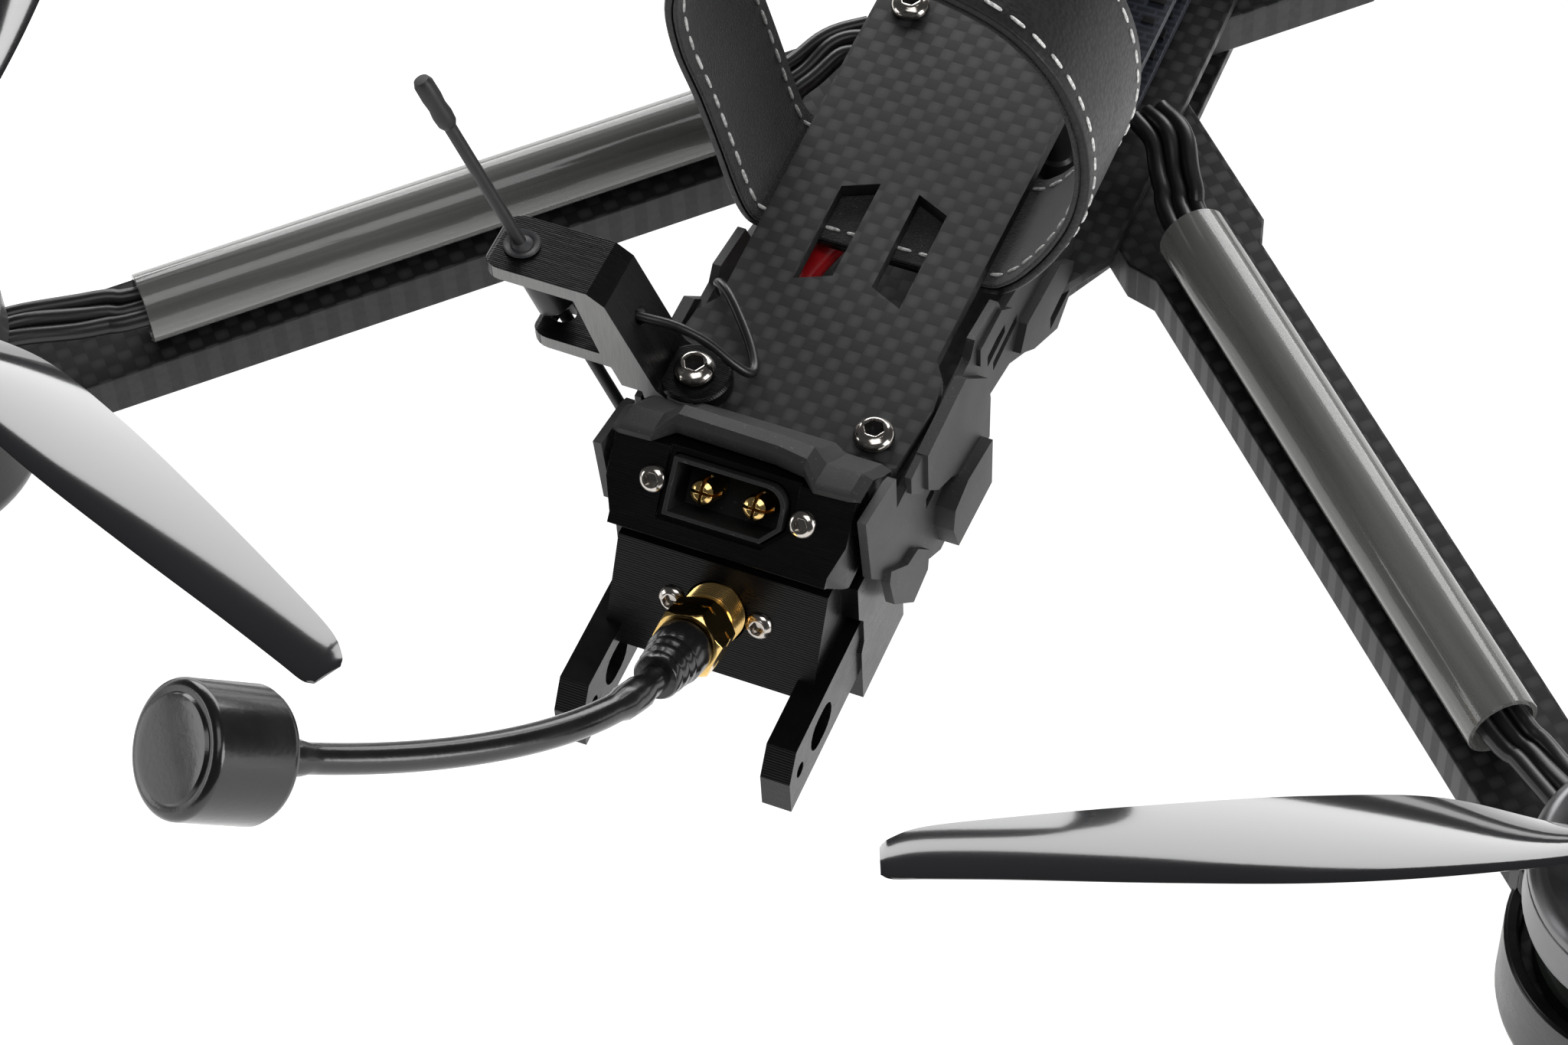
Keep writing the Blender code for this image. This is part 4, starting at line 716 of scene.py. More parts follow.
post = {"radius": 2.7, "neck": 2.2}
for name, (x, y), sx, seat in (("rear_right", rearPost, 1, 0), ("rear_left", rearPost, -1, forkFoot),
                               ("mid_right", midPost, 1, 0), ("mid_left", midPost, -1, 0)):
    r, low, high = post["radius"], bay["low"], bay["high"]
    profile = [(0, low), (r - 0.3, low), (r, low + 0.3), (r, low + 3), (post["neck"], low + 3.5),
               (post["neck"], high - 3.5), (r, high - 3), (r, high - 0.3), (r - 0.3, high), (1.4, high),
               (1.4, topZ + gap + seat + 0.4), (0, topZ + gap + seat + 0.4)]
    body = lathe("post_" + name, profile, 32, upright(sx * x, y))
    shown(body, "blackAlloy", "steel", "standoff_" + name)
print("screws and posts in place")

# ---- tail blocks
block = {"half": 16.5, "top": 43.4, "low": 30.0, "front": -105.3}
bracket = {"half": 14.6, "strutIn": 12.4, "strutOut": 16.5, "strutLow": 8.3, "strutHigh": 18.3, "strutEnd": -142.3,
           "finIn": 14.9, "finOut": 17.0}


def plugOutline(w, h):  # square on the left, rounded above and cut back below on the right
    r, cut = h * 0.75, h * 0.6
    corner = arc((w - r, h - r), r, 0, 90, 8)
    return [(-w, -h), (w - cut, -h), (w, cut - h), *corner, (-w, h)]


def downFace(centre, tilt, down):
    a = math.radians(tilt)
    return centre[1] - math.sin(a) * down, centre[2] - math.cos(a) * down


def makePlugBlock():
    rise = math.cos(math.radians(plug["tilt"]))
    topY, _ = downFace(plug["centre"], plug["tilt"], (plug["centre"][2] - block["top"]) / rise)
    lowY, lowZ = downFace(plug["centre"], plug["tilt"], (plug["centre"][2] - 34.4) / rise)
    side = [(topY, block["top"]), (lowY, lowZ), (lowY + 3.1, block["low"] + 1), (lowY + 4.4, block["low"]),
            (block["front"], block["low"]), (block["front"], bay["high"]), (-107.6, bay["high"]), (-107.6, 37.4),
            (topY + 4, block["top"] - 1)]
    body = flat("plug_block", side, -block["half"], block["half"], place=alongX)
    window = flat("window", plugOutline(plug["halfWidth"] + 0.3, plug["halfHeight"] + 0.3), -plug["depth"] - 0.3, 4,
                  place=plugFace)
    leadWay = flat("lead_way", [(-7.2, -115.5), (7.2, -115.5), (7.2, -104), (-7.2, -104)], 29, 34.8)
    corner = []
    for sx in (-1, 1):  # the upright corners are cut back at a slant
        wedge = [(sx * (block["half"] - 1.5), -140), (sx * (block["half"] + 3), -140), (sx * (block["half"] + 3), -100),
                 (sx * (block["half"] + 0.001), -100), (sx * (block["half"] + 0.001), -121.5),
                 (sx * (block["half"] - 1.5), -124.4)]
        corner.append(flat("corner", wedge if sx > 0 else wedge[::-1], 25, 50))
    lands = flat("between_lands", [(-8.9, -4.9), (5.7, -4.9), (8.9, -1.6), (8.9, 9), (-8.9, 9)], -0.55, 4,
                 place=plugFace)
    body = eased(carved(body, cut=[window, leadWay, lands, *corner]), 0.3, 3)
    shown(body, "printed", "printed", "plug_housing")
    return topY


def makeBracket():
    rise = math.cos(math.radians(jack["tilt"]))
    topY, _ = downFace(jack["centre"], jack["tilt"], (jack["centre"][2] - 29.7) / rise)
    lowY, lowZ = downFace(jack["centre"], jack["tilt"], 8.6)
    side = [(topY, 29.7), (lowY, lowZ), (lowY + 2, lowZ - 2.2), (-112, bay["low"]), (block["front"], bay["low"]),
            (block["front"], 29.7)]
    body = flat("bracket", side, -bracket["half"], bracket["half"], place=alongX)
    add, cut = [], [peg("socket", 4.4, -7, 3, 48, jackFace)]
    mid = (bracket["strutLow"] + bracket["strutHigh"]) / 2
    end = bracket["strutEnd"]
    for sx in (-1, 1):
        rail = [(end, bracket["strutLow"]), (-110.3, bracket["strutLow"]), (-110.3, bracket["strutHigh"]),
                (end + 2.6, bracket["strutHigh"]), (end, bracket["strutHigh"] - 4)]
        slot = arc((-130.8, mid), 2.6, -90, 90, 8) + arc((-132.6, mid), 2.6, 90, 270, 8)
        hole = arc((end + 3.4, mid), 1.1, 0, 345, 23)
        low, high = sorted((sx * bracket["strutIn"], sx * bracket["strutOut"]))
        add.append(flat("rail", rail, low, high, (slot, hole), alongX))
        wave = [(-119, 3), (-119, 13), (-118, 14.5), (-118, 19), (-119.4, 21), (-119.4, 27.5), (-104.5, 27.5),
                (-104.5, 3)]
        low, high = sorted((sx * bracket["finIn"], sx * bracket["finOut"]))
        add.append(flat("fin", wave, low - (0.4 if sx > 0 else 0), high + (0.4 if sx < 0 else 0), place=alongX))
    body = eased(carved(body, add, cut), 0.35, 3)
    return shown(body, "printed", "printed", "antenna_bracket")


capTop = makePlugBlock()
makeBracket()
shown(tailScrews, "steel", "steel", "plug_housing", smooth=30.0)

cap = {"half": 17.0, "front": -105.4, "low": 36.7, "crown": 1.5, "setBack": 2.6, "leftFlap": -11.5, "crownFrom": -9.0,
       "crownTo": 8.9, "rightFlap": 10.9}


def makeCap():  # a thin cover, higher over the middle of the plug block
    ridge = block["top"] + gap
    line = [(cap["front"], cap["low"] + 0.5), (cap["front"] - 1.4, cap["low"] + 1.5), (-110.2, 41.0),
            (capTop + 4, ridge + 0.5), (capTop + 0.6, ridge + 1.1), (capTop - 0.5, ridge + 1.0)]
    under = [(cap["front"], cap["low"]), (-107.3, cap["low"]), (-107.3, cap["low"] + 1), (capTop + 4, ridge - 0.7),
             (capTop, ridge), (capTop - 0.5, ridge)]
    # across the cover: place, lift, and how far its tail edge stands back
    across = [(-cap["half"], -0.9, 0.3), (-cap["half"] + 1.2, 0.0, 0.0), (cap["leftFlap"], 0.0, 0.2),
              (cap["crownFrom"], cap["crown"], cap["setBack"]),
              (cap["crownTo"] - 4, cap["crown"], cap["setBack"] - 0.3),
              (cap["crownTo"], cap["crown"] - 0.1, cap["setBack"] - 0.9), (cap["rightFlap"], 0.05, -0.2),
              (cap["half"] - 1.4, 0.0, 0.1), (cap["half"], -0.9, 0.5)]
    work = bmesh.new()
    rows = []
    shares = (0.3, 0.8, 1.0, 1.0, 1.0, 0.8)
    for x, lift, back in across:
        top, low = [], []
        for i, (y, z) in enumerate(line):
            shift = back if i > 3 else back * 0.5 * (i == 3)
            top.append(work.verts.new((x * mm, (y + shift) * mm, (z + lift * shares[i]) * mm)))
        for i, (y, z) in enumerate(under):
            shift = back if i > 3 else back * 0.5 * (i == 3)
            low.append(work.verts.new((x * mm, (y + shift) * mm, z * mm)))
        rows.append(top + low[::-1])
    for r, s in zip(rows, rows[1:]):
        for i in range(len(r)):
            j = (i + 1) % len(r)
            work.faces.new((r[i], s[i], s[j], r[j]))
    work.faces.new(rows[0])
    work.faces.new(rows[-1][::-1])
    cover = tidied(settled("tail_cover", work, outward=False))
    cuts = [peg("foot_room", 5.4, 30, 50, 40, upright(-rearPost[0], rearPost[1])),
            flat("head_room", [(8.7, -99), (8.7, -105.9), (10.3, -107.1), (20.6, -107.1), (20.6, -99)], 31, 51),
            flat("fork_room", [(-22, -107), (-12.5, -107), (-12.5, -100), (-22, -100)], 30, 50)]
    shown(eased(carved(cover, cut=cuts), 0.3, 3, 20.0), "moulded", "moulded", "tail_cap", smooth=25.0)


makeCap()
print("tail blocks and cover made")


# ---- power plug
def makePlug():
    outer = plugOutline(plug["halfWidth"], plug["halfHeight"])
    inner = plugOutline(plug["halfWidth"] - plug["wall"], plug["halfHeight"] - plug["wall"])
    shell = flat("plug_shell", outer, -plug["depth"], plug["rim"], place=plugFace)
    hollow = flat("hollow", inner, -plug["depth"] + plug["floor"], plug["rim"] + 1, place=plugFace)
    shown(eased(carved(shell, cut=[hollow]), 0.28, 3), "plugShell", "moulded", "power_plug_shell")
    r = plug["pinRadius"]
    root = -plug["depth"] + plug["floor"] + 0.3
    for side, name in ((-1, "left"), (1, "right")):
        profile = [(0, root), (r, root), (r, root + 1.2), (r * 0.9, root + 1.4), (r * 0.9, root + 1.8),
                   (r, root + 2.0), (r, -0.9), (r * 0.86, -0.25), (r * 0.52, 0.15), (r * 0.3, 0.05), (0, 0.0)]
        pin = lathe("pin_" + name, profile, 36, plugFace @ Matrix.Translation((side * plug["pinX"] * mm, 0, 0)))
        x = side * plug["pinX"]
        slits = [flat("slit", [(x - a, -b), (x + a, -b), (x + a, b), (x - a, b)], -3.4, 1, place=plugFace)
                 for a, b in ((0.2, 2), (2, 0.2))]
        shown(eased(carved(pin, cut=slits), 0.07, 2, 40), "gold", "gold", "power_pin_" + name)


makePlug()


# ---- antenna jack, nut, boot, stalk and head
def makeVideoAntenna():
    r, length = jack["radius"], jack["length"]
    thread = []
    for i in range(9):
        z = -0.2 + i * (length - 0.9) / 9
        thread += [(r - 0.28, z), (r, z + 0.16), (r, z + 0.26), (r - 0.28, z + 0.4)]
    barrel = [(0, -6.6), (r, -6.6), (r, -0.5), *thread, (r - 0.2, length - 0.3), (r - 0.5, length), (0, length)]
    shown(lathe("jack_thread", barrel, 48, jackFace), "gold", "gold", "antenna_jack", smooth=25.0)
    low = length + gap
    high = low + jack["nutHeight"]
    reach = jack["nut"] / math.sqrt(3)
    body = flat("nut", hexagon(reach, 12), low, high, place=jackFace)
    room = lathe("chamfer", [(0, low - 0.2), (reach - 0.75, low - 0.2), (reach + 0.1, low + 0.7),
                             (reach + 0.1, high - 0.7), (reach - 0.75, high + 0.2), (0, high + 0.2)], 48, jackFace)
    keep = body.modifiers.new("round", "BOOLEAN")
    keep.operation = "INTERSECT"
    keep.object = room
    body = tidied(plain(body))
    bpy.data.objects.remove(room)
    waist = lathe("waist", [(reach * 0.9, low + 2.3), (reach + 1, low + 2.3), (reach + 1, low + 2.7),
                            (reach * 0.9, low + 2.7)], 48, jackFace, closed=True)
    shown(eased(carved(body, cut=[waist]), 0.12, 2, 25.0), "gold", "gold", "antenna_nut", smooth=25.0)

    start = high + gap
    ripples = [(0, 0), (3.6, 0), (3.95, 0.35), (3.85, 3.4), (3.5, 4.0), (3.56, 4.5), (3.5, 5.4), (3.3, 5.8),
               (3.38, 6.3), (3.32, 7.2), (3.1, 7.6), (3.16, 8.1), (3.1, 9.0), (2.85, 9.4), (2.0, 9.5), (0, 9.5)]
    boot = [(radius, start + rise) for radius, rise in ripples]
    bootPiece = lathe("boot", boot, 40, jackFace)
    out = jackFace.col[2].to_3d().normalized()
    bootEnd = (jackFace @ Vector((0, 0, (start + jack["bootLength"]) * mm))) / mm
    head = {"centre": Vector((-30.7, -194.0, 68.5)), "axis": Vector((-0.494, -0.575, 0.645)).normalized(),
            "radius": 8.25, "length": 13.0}
    neck = head["centre"] - head["axis"] * (head["length"] / 2 + gap)
    reachOut = (neck - bootEnd).length / 3
    a, b, c, d = bootEnd - out, bootEnd + out * reachOut, neck - head["axis"] * reachOut, neck
    line = []
    for i in range(49):
        t = i / 48
        line.append(a * (1 - t) ** 3 + b * 3 * t * (1 - t) ** 2 + c * 3 * t * t * (1 - t) + d * t ** 3)
    swell = [1.0 + (0.16 if 3 < i < 8 or i > 43 else 0.0) for i in range(49)]
    stalk = hose("stalk", line, jack["stalk"], 6, swell)
    shown(joined("antenna_boot_and_stalk", [bootPiece, stalk]), "shrink", "cable", "antenna_stalk", smooth=50.0)
    r, half = head["radius"], head["length"] / 2
    shape = [(0, -half), (r - 1.6, -half), (r - 0.5, -half + 0.4), (r, -half + 1.4), (r, half - 1.6)]
    shape += [(r - 1.1 + 1.1 * math.cos(t), half - 1.6 + 1.1 * math.sin(t)) for t in np.radians(range(15, 91, 15))]
    shape += [(r - 1.7, half - 0.6), (r - 2.0, half - 0.25), (r - 3.0, half - 0.1), (0, half)]
    drum = lathe("antenna_drum", shape, 72, standing(head["centre"], head["axis"]))
    shown(drum, "shrink", "printed", "antenna_head", smooth=40.0)


makeVideoAntenna()
print("plug and video antenna made")


# ---- receiver antenna on its fork
fork = {"top": 54.6, "low": 43.2, "foot": 36.7, "front": -97.3, "rear": -106.7, "round": 2.8}
dipole = {"centre": Vector((-32.2, -102.0, 46.4)), "axis": Vector((-0.39, 0.0, 0.921)).normalized(), "up": 38.0,
          "down": 24.4, "radius": 0.85, "coax": 0.65}
coaxRoute = [(-27.3, -102.0, 46.7), (-23.0, -102.0, 47.0), (-19.0, -102.0, 47.1), (-15.2, -101.0, 45.9),
             (-11.4, -100.2, 43.4), (-7.9, -100.2, 40.6), (-6.0, -99.4, 38.5), (-6.0, -97.6, 37.6), (-7.9, -94.4, 37.6),
             (-10.9, -90.8, 37.9), (-14.0, -87.6, 38.2), (-16.1, -85.8, 37.4), (-16.4, -84.9, 35.4),
             (-16.1, -84.1, 33.0), (-13.6, -82.6, 30.4)]


def makeReceiverAntenna():
    top, low, foot = fork["top"], fork["low"], fork["foot"]
    tip = arc((-38.6, top - 1.1), 1.1, 95, 262, 8)
    lowerTip = arc((-32.9, low - 1.0), 1.0, 92, 265, 8)
    side = [(-13.0, foot), (-16.0, foot + 2.2), (-22.2, top - 1.6), (-24.6, top), *tip, (-26.6, top - 2.2),
            (-23.6, low), *lowerTip, (-22.2, low - 2.2), (-20.9, foot + 1.2), (-18.0, foot + 1.2), (-17.8, foot)]
    arch = flat("fork", side, -fork["front"], -fork["rear"], place=alongY)
    overPost = upright(-rearPost[0], rearPost[1])
    base = lathe("foot", [(0, foot), (5, foot), (5, foot + 1.8), (4.6, foot + 2.2), (0, foot + 2.2)], 48, overPost)
    centre, axis = dipole["centre"], dipole["axis"]
    bore = peg("bore", 1.65, -60, 60, 32, standing(centre, axis))
    hole = peg("hole", 1.75, foot - 1, foot + 5, 32, overPost)
    coaxWay = hose("coax_way", [(-28, -102, 46.7), (-17, -102, 47.3)], 1.2, 4)
    waste, r = [], fork["round"]
    for x, bottom in ((-39.7, low + 2), (-33.9, low - 5)):  # both prongs are rounded off towards their ends
        for y, inward in ((fork["front"], -1), (fork["rear"], 1)):
            bend = [(x + r - r * math.sin(a), y + inward * (r - r * math.cos(a)))
                    for a in [math.radians(15 * i) for i in range(7)]]
            waste.append(flat("corner", [(x - 1, y - inward), *bend, (x - 1, y + inward * r)][::inward], bottom,
                              bottom + 14))
    body = eased(carved(arch, join=[base], cut=[bore, hole, coaxWay, *waste]), 0.4, 3)
    shown(body, "forkPrinted", "printed", "receiver_antenna_mount")

    rodTop = centre + axis * dipole["up"]
    rod = hose("rod", [centre - axis * dipole["down"], rodTop - axis], dipole["radius"], 5)
    sleeve = lathe("tip", [(0, -8), (0.95, -8), (1.25, -7.4), (1.35, -6), (1.2, -4.6), (1.33, -3), (1.3, -0.8),
                           (1.0, -0.1), (0, 0)], 28, standing(rodTop, axis))
    out = centre + axis * ((top - centre.z) / axis.z)
    seat = top + 0.02
    grommet = lathe("grommet", [(0.5, seat - 2), (1.5, seat - 2), (1.5, seat), (2.3, seat), (2.45, seat + 0.2),
                                (2.3, seat + 0.5), (1.8, seat + 0.45), (1.5, seat + 0.2), (1.25, seat + 0.5),
                                (0.5, seat + 0.9)], 36, upright(out.x, out.y), closed=True)
    tee = lathe("tee", [(0, -1.8), (2.3, -1.8), (2.7, -1.4), (2.7, 3.9), (2.3, 4.6), (0, 4.6)], 32,
                standing(centre, axis))
    shown(joined("receiver_dipole", [rod, sleeve]), "matteRubber", "cable", "receiver_antenna", smooth=50.0)
    shown(tee, "silicone", "cable", "receiver_antenna", smooth=50.0)
    shown(grommet, "greyRubber", "cable", "receiver_antenna", smooth=50.0)
    line = smoothLine(coaxRoute, 4)
    coax = shown(hose("receiver_coax", line, dipole["coax"], 4), "silicone", "cable", "receiver_antenna", smooth=60.0)
    length = sum((b - a).length for a, b in zip(line, line[1:])) * mm
    Vector(coaxRoute[0]) * mm
    [p * mm for p in line]


makeReceiverAntenna()
print("receiver antenna made")

# ---- side panels
panel = {"inner": 17.5, "outer": 18.7, "reliefFrom": 18.4, "edge": 0.3}
panelWall = [(-118.8, 30.0), (-120.0, 43.0), (-111.5, 41.0), (-109.8, 40.0), (-109.8, 34.0), (-83.6, 34.0),
             (-82.0, 36.0), (-73.5, 34.4), (-71.8, 30.5), (-60.0, 27.5), (-46.0, 22.0), (-43.0, 15.0), (-44.0, 6.0),
             (-50.0, 3.5), (-62.8, 11.6), (-69.0, 16.2), (-76.5, 18.2), (-80.0, 12.0), (-84.0, 6.5), (-95.0, 6.5),
             (-98.8, 9.3), (-112.3, 21.7)]
panelReliefs = {
    "upperPlate": (20.0, [(-102.2, 29.0), (-102.2, 36.2), (-88.6, 36.2), (-80.5, 27.0), (-79.5, 21.7), (-79.9, 13.7),
                          (-88.6, 16.7), (-94.0, 21.9), (-98.7, 24.8)]),
    "upperStep": (19.35, [(-106.4, 33.0), (-106.4, 36.1), (-101.0, 36.1), (-101.0, 29.5), (-102.6, 28.4)]),
    "block": (21.6, [(-97.5, 15.1), (-96.8, 18.6), (-91.9, 19.6), (-82.9, 17.4), (-83.2, 8.4), (-95.7, 9.6)]),
    "lowerPlate": (19.7, [(-113.8, 18.6), (-115.2, 24.9), (-114.6, 26.8), (-109.0, 21.2), (-105.4, 20.1),
                          (-101.4, 15.0), (-102.1, 11.5), (-107.3, 10.7)]),
    "nosePlate": (19.9, [(-67.8, 17.5), (-65.3, 21.0), (-52.3, 19.2), (-46.7, 13.8), (-47.1, 8.6), (-53.0, 6.2),
                         (-62.4, 12.4)]),
    "ventRib": (19.3, [(-81.5, 30.2), (-81.5, 33.6), (-73.6, 33.0), (-69.6, 29.0), (-71.0, 28.6)]),
}
# vents, a small square hole, and the gap that lets the wide part of the middle plate through
panelHoles = [(-77.3, -70.8, 25.1, 27.2), (-75.2, -66.2, 21.9, 23.7), (-99.9, -97.0, 21.6, 23.6),
              (-56.0, -40.0, 9.3, 11.9)]


def makePanel(sx, name):
    layers = [flat("wall", panelWall, *sorted((sx * panel["inner"], sx * panel["outer"])), place=alongX)]
    for label, (outer, outline) in panelReliefs.items():
        layers.append(flat(label, outline, *sorted((sx * panel["reliefFrom"], sx * outer)), place=alongX))
    cuts = []
    for rear, front, low, high in panelHoles:
        hole = [(rear, low), (front, low), (front, high), (rear, high)]
        cuts.append(flat("hole", hole, *sorted((sx * (panel["inner"] - 2), sx * 25)), place=alongX))
    body = eased(carved(layers[0], layers[1:], cuts), panel["edge"], 2)
    shown(body, "panel", "moulded", name)


makePanel(1, "side_panel_right")
makePanel(-1, "side_panel_left")
print("side panels made")

# ---- battery strap
strap = {"rear": -71.0, "width": 20.0, "thick": 2.2, "lining": 0.75, "stitch": 2.5, "pitch": 3.5, "inset": 1.9,
         "thread": 0.24}
strapLoop = [(0.0, 32.9), (12.0, 32.9), (16.6, 33.0), (18.8, 34.3), (21.6, 37.6), (25.2, 44.0), (28.0, 51.5),
             (29.1, 60.0), (28.0, 69.0), (24.4, 77.2), (18.0, 83.4), (9.0, 86.6), (0.0, 87.4), (-10.0, 86.6),
             (-19.0, 83.4), (-25.0, 77.6), (-27.4, 71.0), (-26.8, 63.0), (-24.2, 54.5), (-22.0, 46.0), (-20.2, 38.6),
             (-18.6, 34.3), (-16.6, 33.0), (-12.0, 32.9)]


def strapFrames():  # point, direction and outward side at each step round the loop
    line = smoothLine([(x, 0, z) for x, z in strapLoop], 8, closed=True)
    frames = []
    for i, point in enumerate(line):
        along = (line[(i + 1) % len(line)] - line[i - 1]).normalized()
        frames.append((point, along, Vector((0, 1, 0)).cross(along)))
    return frames


def strapBand(name, inner, outer, inset, crown):
    middle, half = strap["rear"] + strap["width"] / 2, strap["width"] / 2 - inset
    section = [(-half, inner + 0.15), (-half, outer - 0.35), (-half + 0.35, outer)]
    section += [(half * t, outer + crown * (1 - t * t)) for t in (-0.8, -0.6, -0.3, 0.0, 0.3, 0.6, 0.8)]
    section += [(half - 0.35, outer), (half, outer - 0.35), (half, inner + 0.15), (half - 0.2, inner),
                (-half + 0.2, inner)]
    work = bmesh.new()
    rings = []
    for point, _, side in strapFrames():
        rings.append([work.verts.new((point + side * out + Vector((0, middle + y, 0))) * mm) for y, out in section])
    for i, ringA in enumerate(rings):
        ringB = rings[(i + 1) % len(rings)]
        for j in range(len(section)):
            k = (j + 1) % len(section)
            work.faces.new((ringA[j], ringB[j], ringB[k], ringA[k]))
    return settled(name, work)


def makeStrap():
    half = strap["thick"] / 2
    shown(strapBand("strap_leather", -half + strap["lining"] + 0.02, half - 0.15, 0.0, 0.12), "leather", "strap",
          "battery_strap", smooth=50.0)
    lining = strapBand("strap_lining", -half, -half + strap["lining"], -0.12, 0.0)
    shown(lining, "velvet", "strap", "battery_strap", smooth=50.0)
    frames = strapFrames()
    travel, spots, nextAt = 0.0, [], 0.0
    for (a, along, side), (b, _, _) in zip(frames, frames[1:] + frames[:1]):
        while nextAt <= travel + (b - a).length:
            point = a + along * (nextAt - travel)
            for y in (strap["inset"], strap["width"] - strap["inset"]):
                for out in (half - 0.12, -half - 0.02):
                    spots.append((point + side * out + Vector((0, strap["rear"] + y, 0)), along))
            nextAt += strap["pitch"]
        travel += (b - a).length
    r, l = strap["thread"], strap["stitch"] / 2
    stitch = lathe("stitch", [(0, -l), (r * 0.6, -l * 0.94), (r, -l * 0.7), (r * 1.1, 0), (r, l * 0.7),
                              (r * 0.6, l * 0.94), (0, l)], 8)
    shown(copies("strap_stitches", stitch, spots, "thread", 1.0, 0.06), "thread", "strap", "battery_strap", smooth=60.0)


makeStrap()
print("strap made")

# ---- sleeves and motor wires
sleeve = {"radius": 5.0, "wall": 0.7, "start": 50.0, "end": 141.0, "offset": 2.2, "z": 14.6}
wires = {"radius": 1.25, "spacing": 2.35, "exit": (21.0, 20.0, 17.5)}


def makeSleeve(name, sx, sy):
    out, across = Vector((sx, sy, 0)).normalized(), Vector((-sx, sy, 0)).normalized()
    lift = Vector((0, 0, sleeve["z"]))
    start = out * sleeve["start"] + across * sleeve["offset"] + lift
    inner, outer, length = sleeve["radius"] - sleeve["wall"], sleeve["radius"], sleeve["end"] - sleeve["start"]
    profile = [(inner, 0), (outer - 0.1, 0), (outer, 0.12)]
    profile += [(outer, length * i / 14) for i in range(1, 14)]
    profile += [(outer, length - 0.12), (outer - 0.1, length), (inner, length)]
    tube = lathe("sleeve_" + name, profile, 56, standing(start, out), closed=True)
    shown(tube, "sleeve_" + name, "clear_sleeve", "wire_sleeve_" + name, smooth=50.0)
    ex, ey, ez = wires["exit"]
    motor = Vector((sx, sy, 0)) * motorOffset
    side = across * sleeve["offset"]
    bundle = [Vector((sx * ex, sy * ey, ez)), Vector((sx * (ex + 4.5), sy * (ey + 3.4), ez)),
              out * (sleeve["start"] - 8) + across * 0.6 + lift + Vector((0, 0, 1.2)),
              out * (sleeve["start"] + 6) + side + lift, out * (sleeve["end"] - 8) + side + lift,
              out * (sleeve["end"] + 6) + side * 0.36 + lift + Vector((0, 0, 0.4)),
              motor - out * 17.8 + lift + Vector((0, 0, 2.6)), motor - out * 8.6 + lift + Vector((0, 0, 2.6))]
    line = smoothLine(bundle, 7)
    strands = []
    for shift in (-1, 0, 1):
        strand = []
        for i, point in enumerate(line):
            ahead = line[min(i + 1, len(line) - 1)] - line[max(i - 1, 0)]
            wander = Vector((0, 0, 0.35 * math.sin(i * 0.35 + shift * 2.1)))
            strand.append(point + ahead.cross(Vector((0, 0, 1))).normalized() * shift * wires["spacing"] + wander)
        strands.append(hose("strand", strand, wires["radius"], 4))
    shown(joined("wires_" + name, strands), "silicone", "wire_black", "motor_wires_" + name, smooth=60.0)


for name, (sx, sy) in corners.items():
    makeSleeve(name, sx, sy)
print("sleeves and wires made")

# ---- motors
motor = {"bell": 17.0, "wall": 1.8, "low": 20.5, "top": 31.5, "seat": 6.5, "seatHeight": 1.5, "shaft": 2.5,
         "shaftTop": 47.0, "flange": 14.6, "flangeLow": 9.6, "flangeHigh": 13.2, "neck": 8.0,
         "poles": 14, "teeth": 12}


def bellPattern():
    r, low, top, seat = motor["bell"], motor["low"], motor["top"], motor["seat"]
    inner, shaft = r - motor["wall"], motor["shaft"]
    profile = [(0, motor["shaftTop"]), (shaft - 0.3, motor["shaftTop"]), (shaft, motor["shaftTop"] - 0.3),
               (shaft, top + motor["seatHeight"]), (seat - 0.2, top + motor["seatHeight"]),
               (seat, top + motor["seatHeight"] - 0.2), (seat, top + 0.1), (seat + 0.2, top), (r - 2.0, top),
               (r - 0.9, top - 0.5), (r - 0.1, top - 1.6), (r, top - 1.9), (r, top - 3.0), (r - 0.25, top - 3.15),
               (r - 0.25, top - 3.5), (r, top - 3.65), (r, low + 1.3), (r - 0.3, low + 1.1), (r - 0.3, low + 0.2),
               (r - 0.5, low), (inner, low), (inner, top - 2), (shaft, top - 2), (shaft, 14.3), (0, 14.3)]
    body = lathe("bell", profile, 72)
    windows = []
    for i in range(6):
        a = 60 * i
        outline = arc((0, 0), 13.2, a - 19, a + 19, 8) + arc((0, 0), 8.4, a + 14, a - 14, 6)
        windows.append(flat("window", outline, top - 3, top + 1))
    return eased(carved(body, cut=windows), 0.12, 2, 40)


def statorPattern():
    low, high, neck = motor["flangeLow"], motor["flangeHigh"], motor["neck"]
    flange = motor["flange"]
    profile = [(3.0, low), (flange - 0.3, low), (flange, low + 0.3), (flange, high - 0.6), (flange - 0.6, high),
               (neck + 0.6, high), (neck, high + 0.6), (neck, 21.5), (3.0, 21.5)]
    seat = lathe("seat", profile, 64, closed=True)
    core = lathe("core", [(3.0, 21.6), (7.0, 21.6), (7.0, 27.4), (3.0, 27.4)], 48, closed=True)
    tooth = flat("tooth", [(-1.0, 6.6), (1.0, 6.6), (1.0, 11.9), (3.0, 12.7), (2.6, 13.5), (-2.6, 13.5),
                           (-3.0, 12.7), (-1.0, 11.9)], 22.2, 27.0,
                 place=Matrix.Translation((-12 * mm, 0, 0)) @ Matrix.Rotation(math.radians(-90), 4, "Z"))
    teeth = ring("teeth", eased(tooth, 0.15), motor["teeth"], 12.0, "stator")
    return joined("stator", [seat, core, teeth])


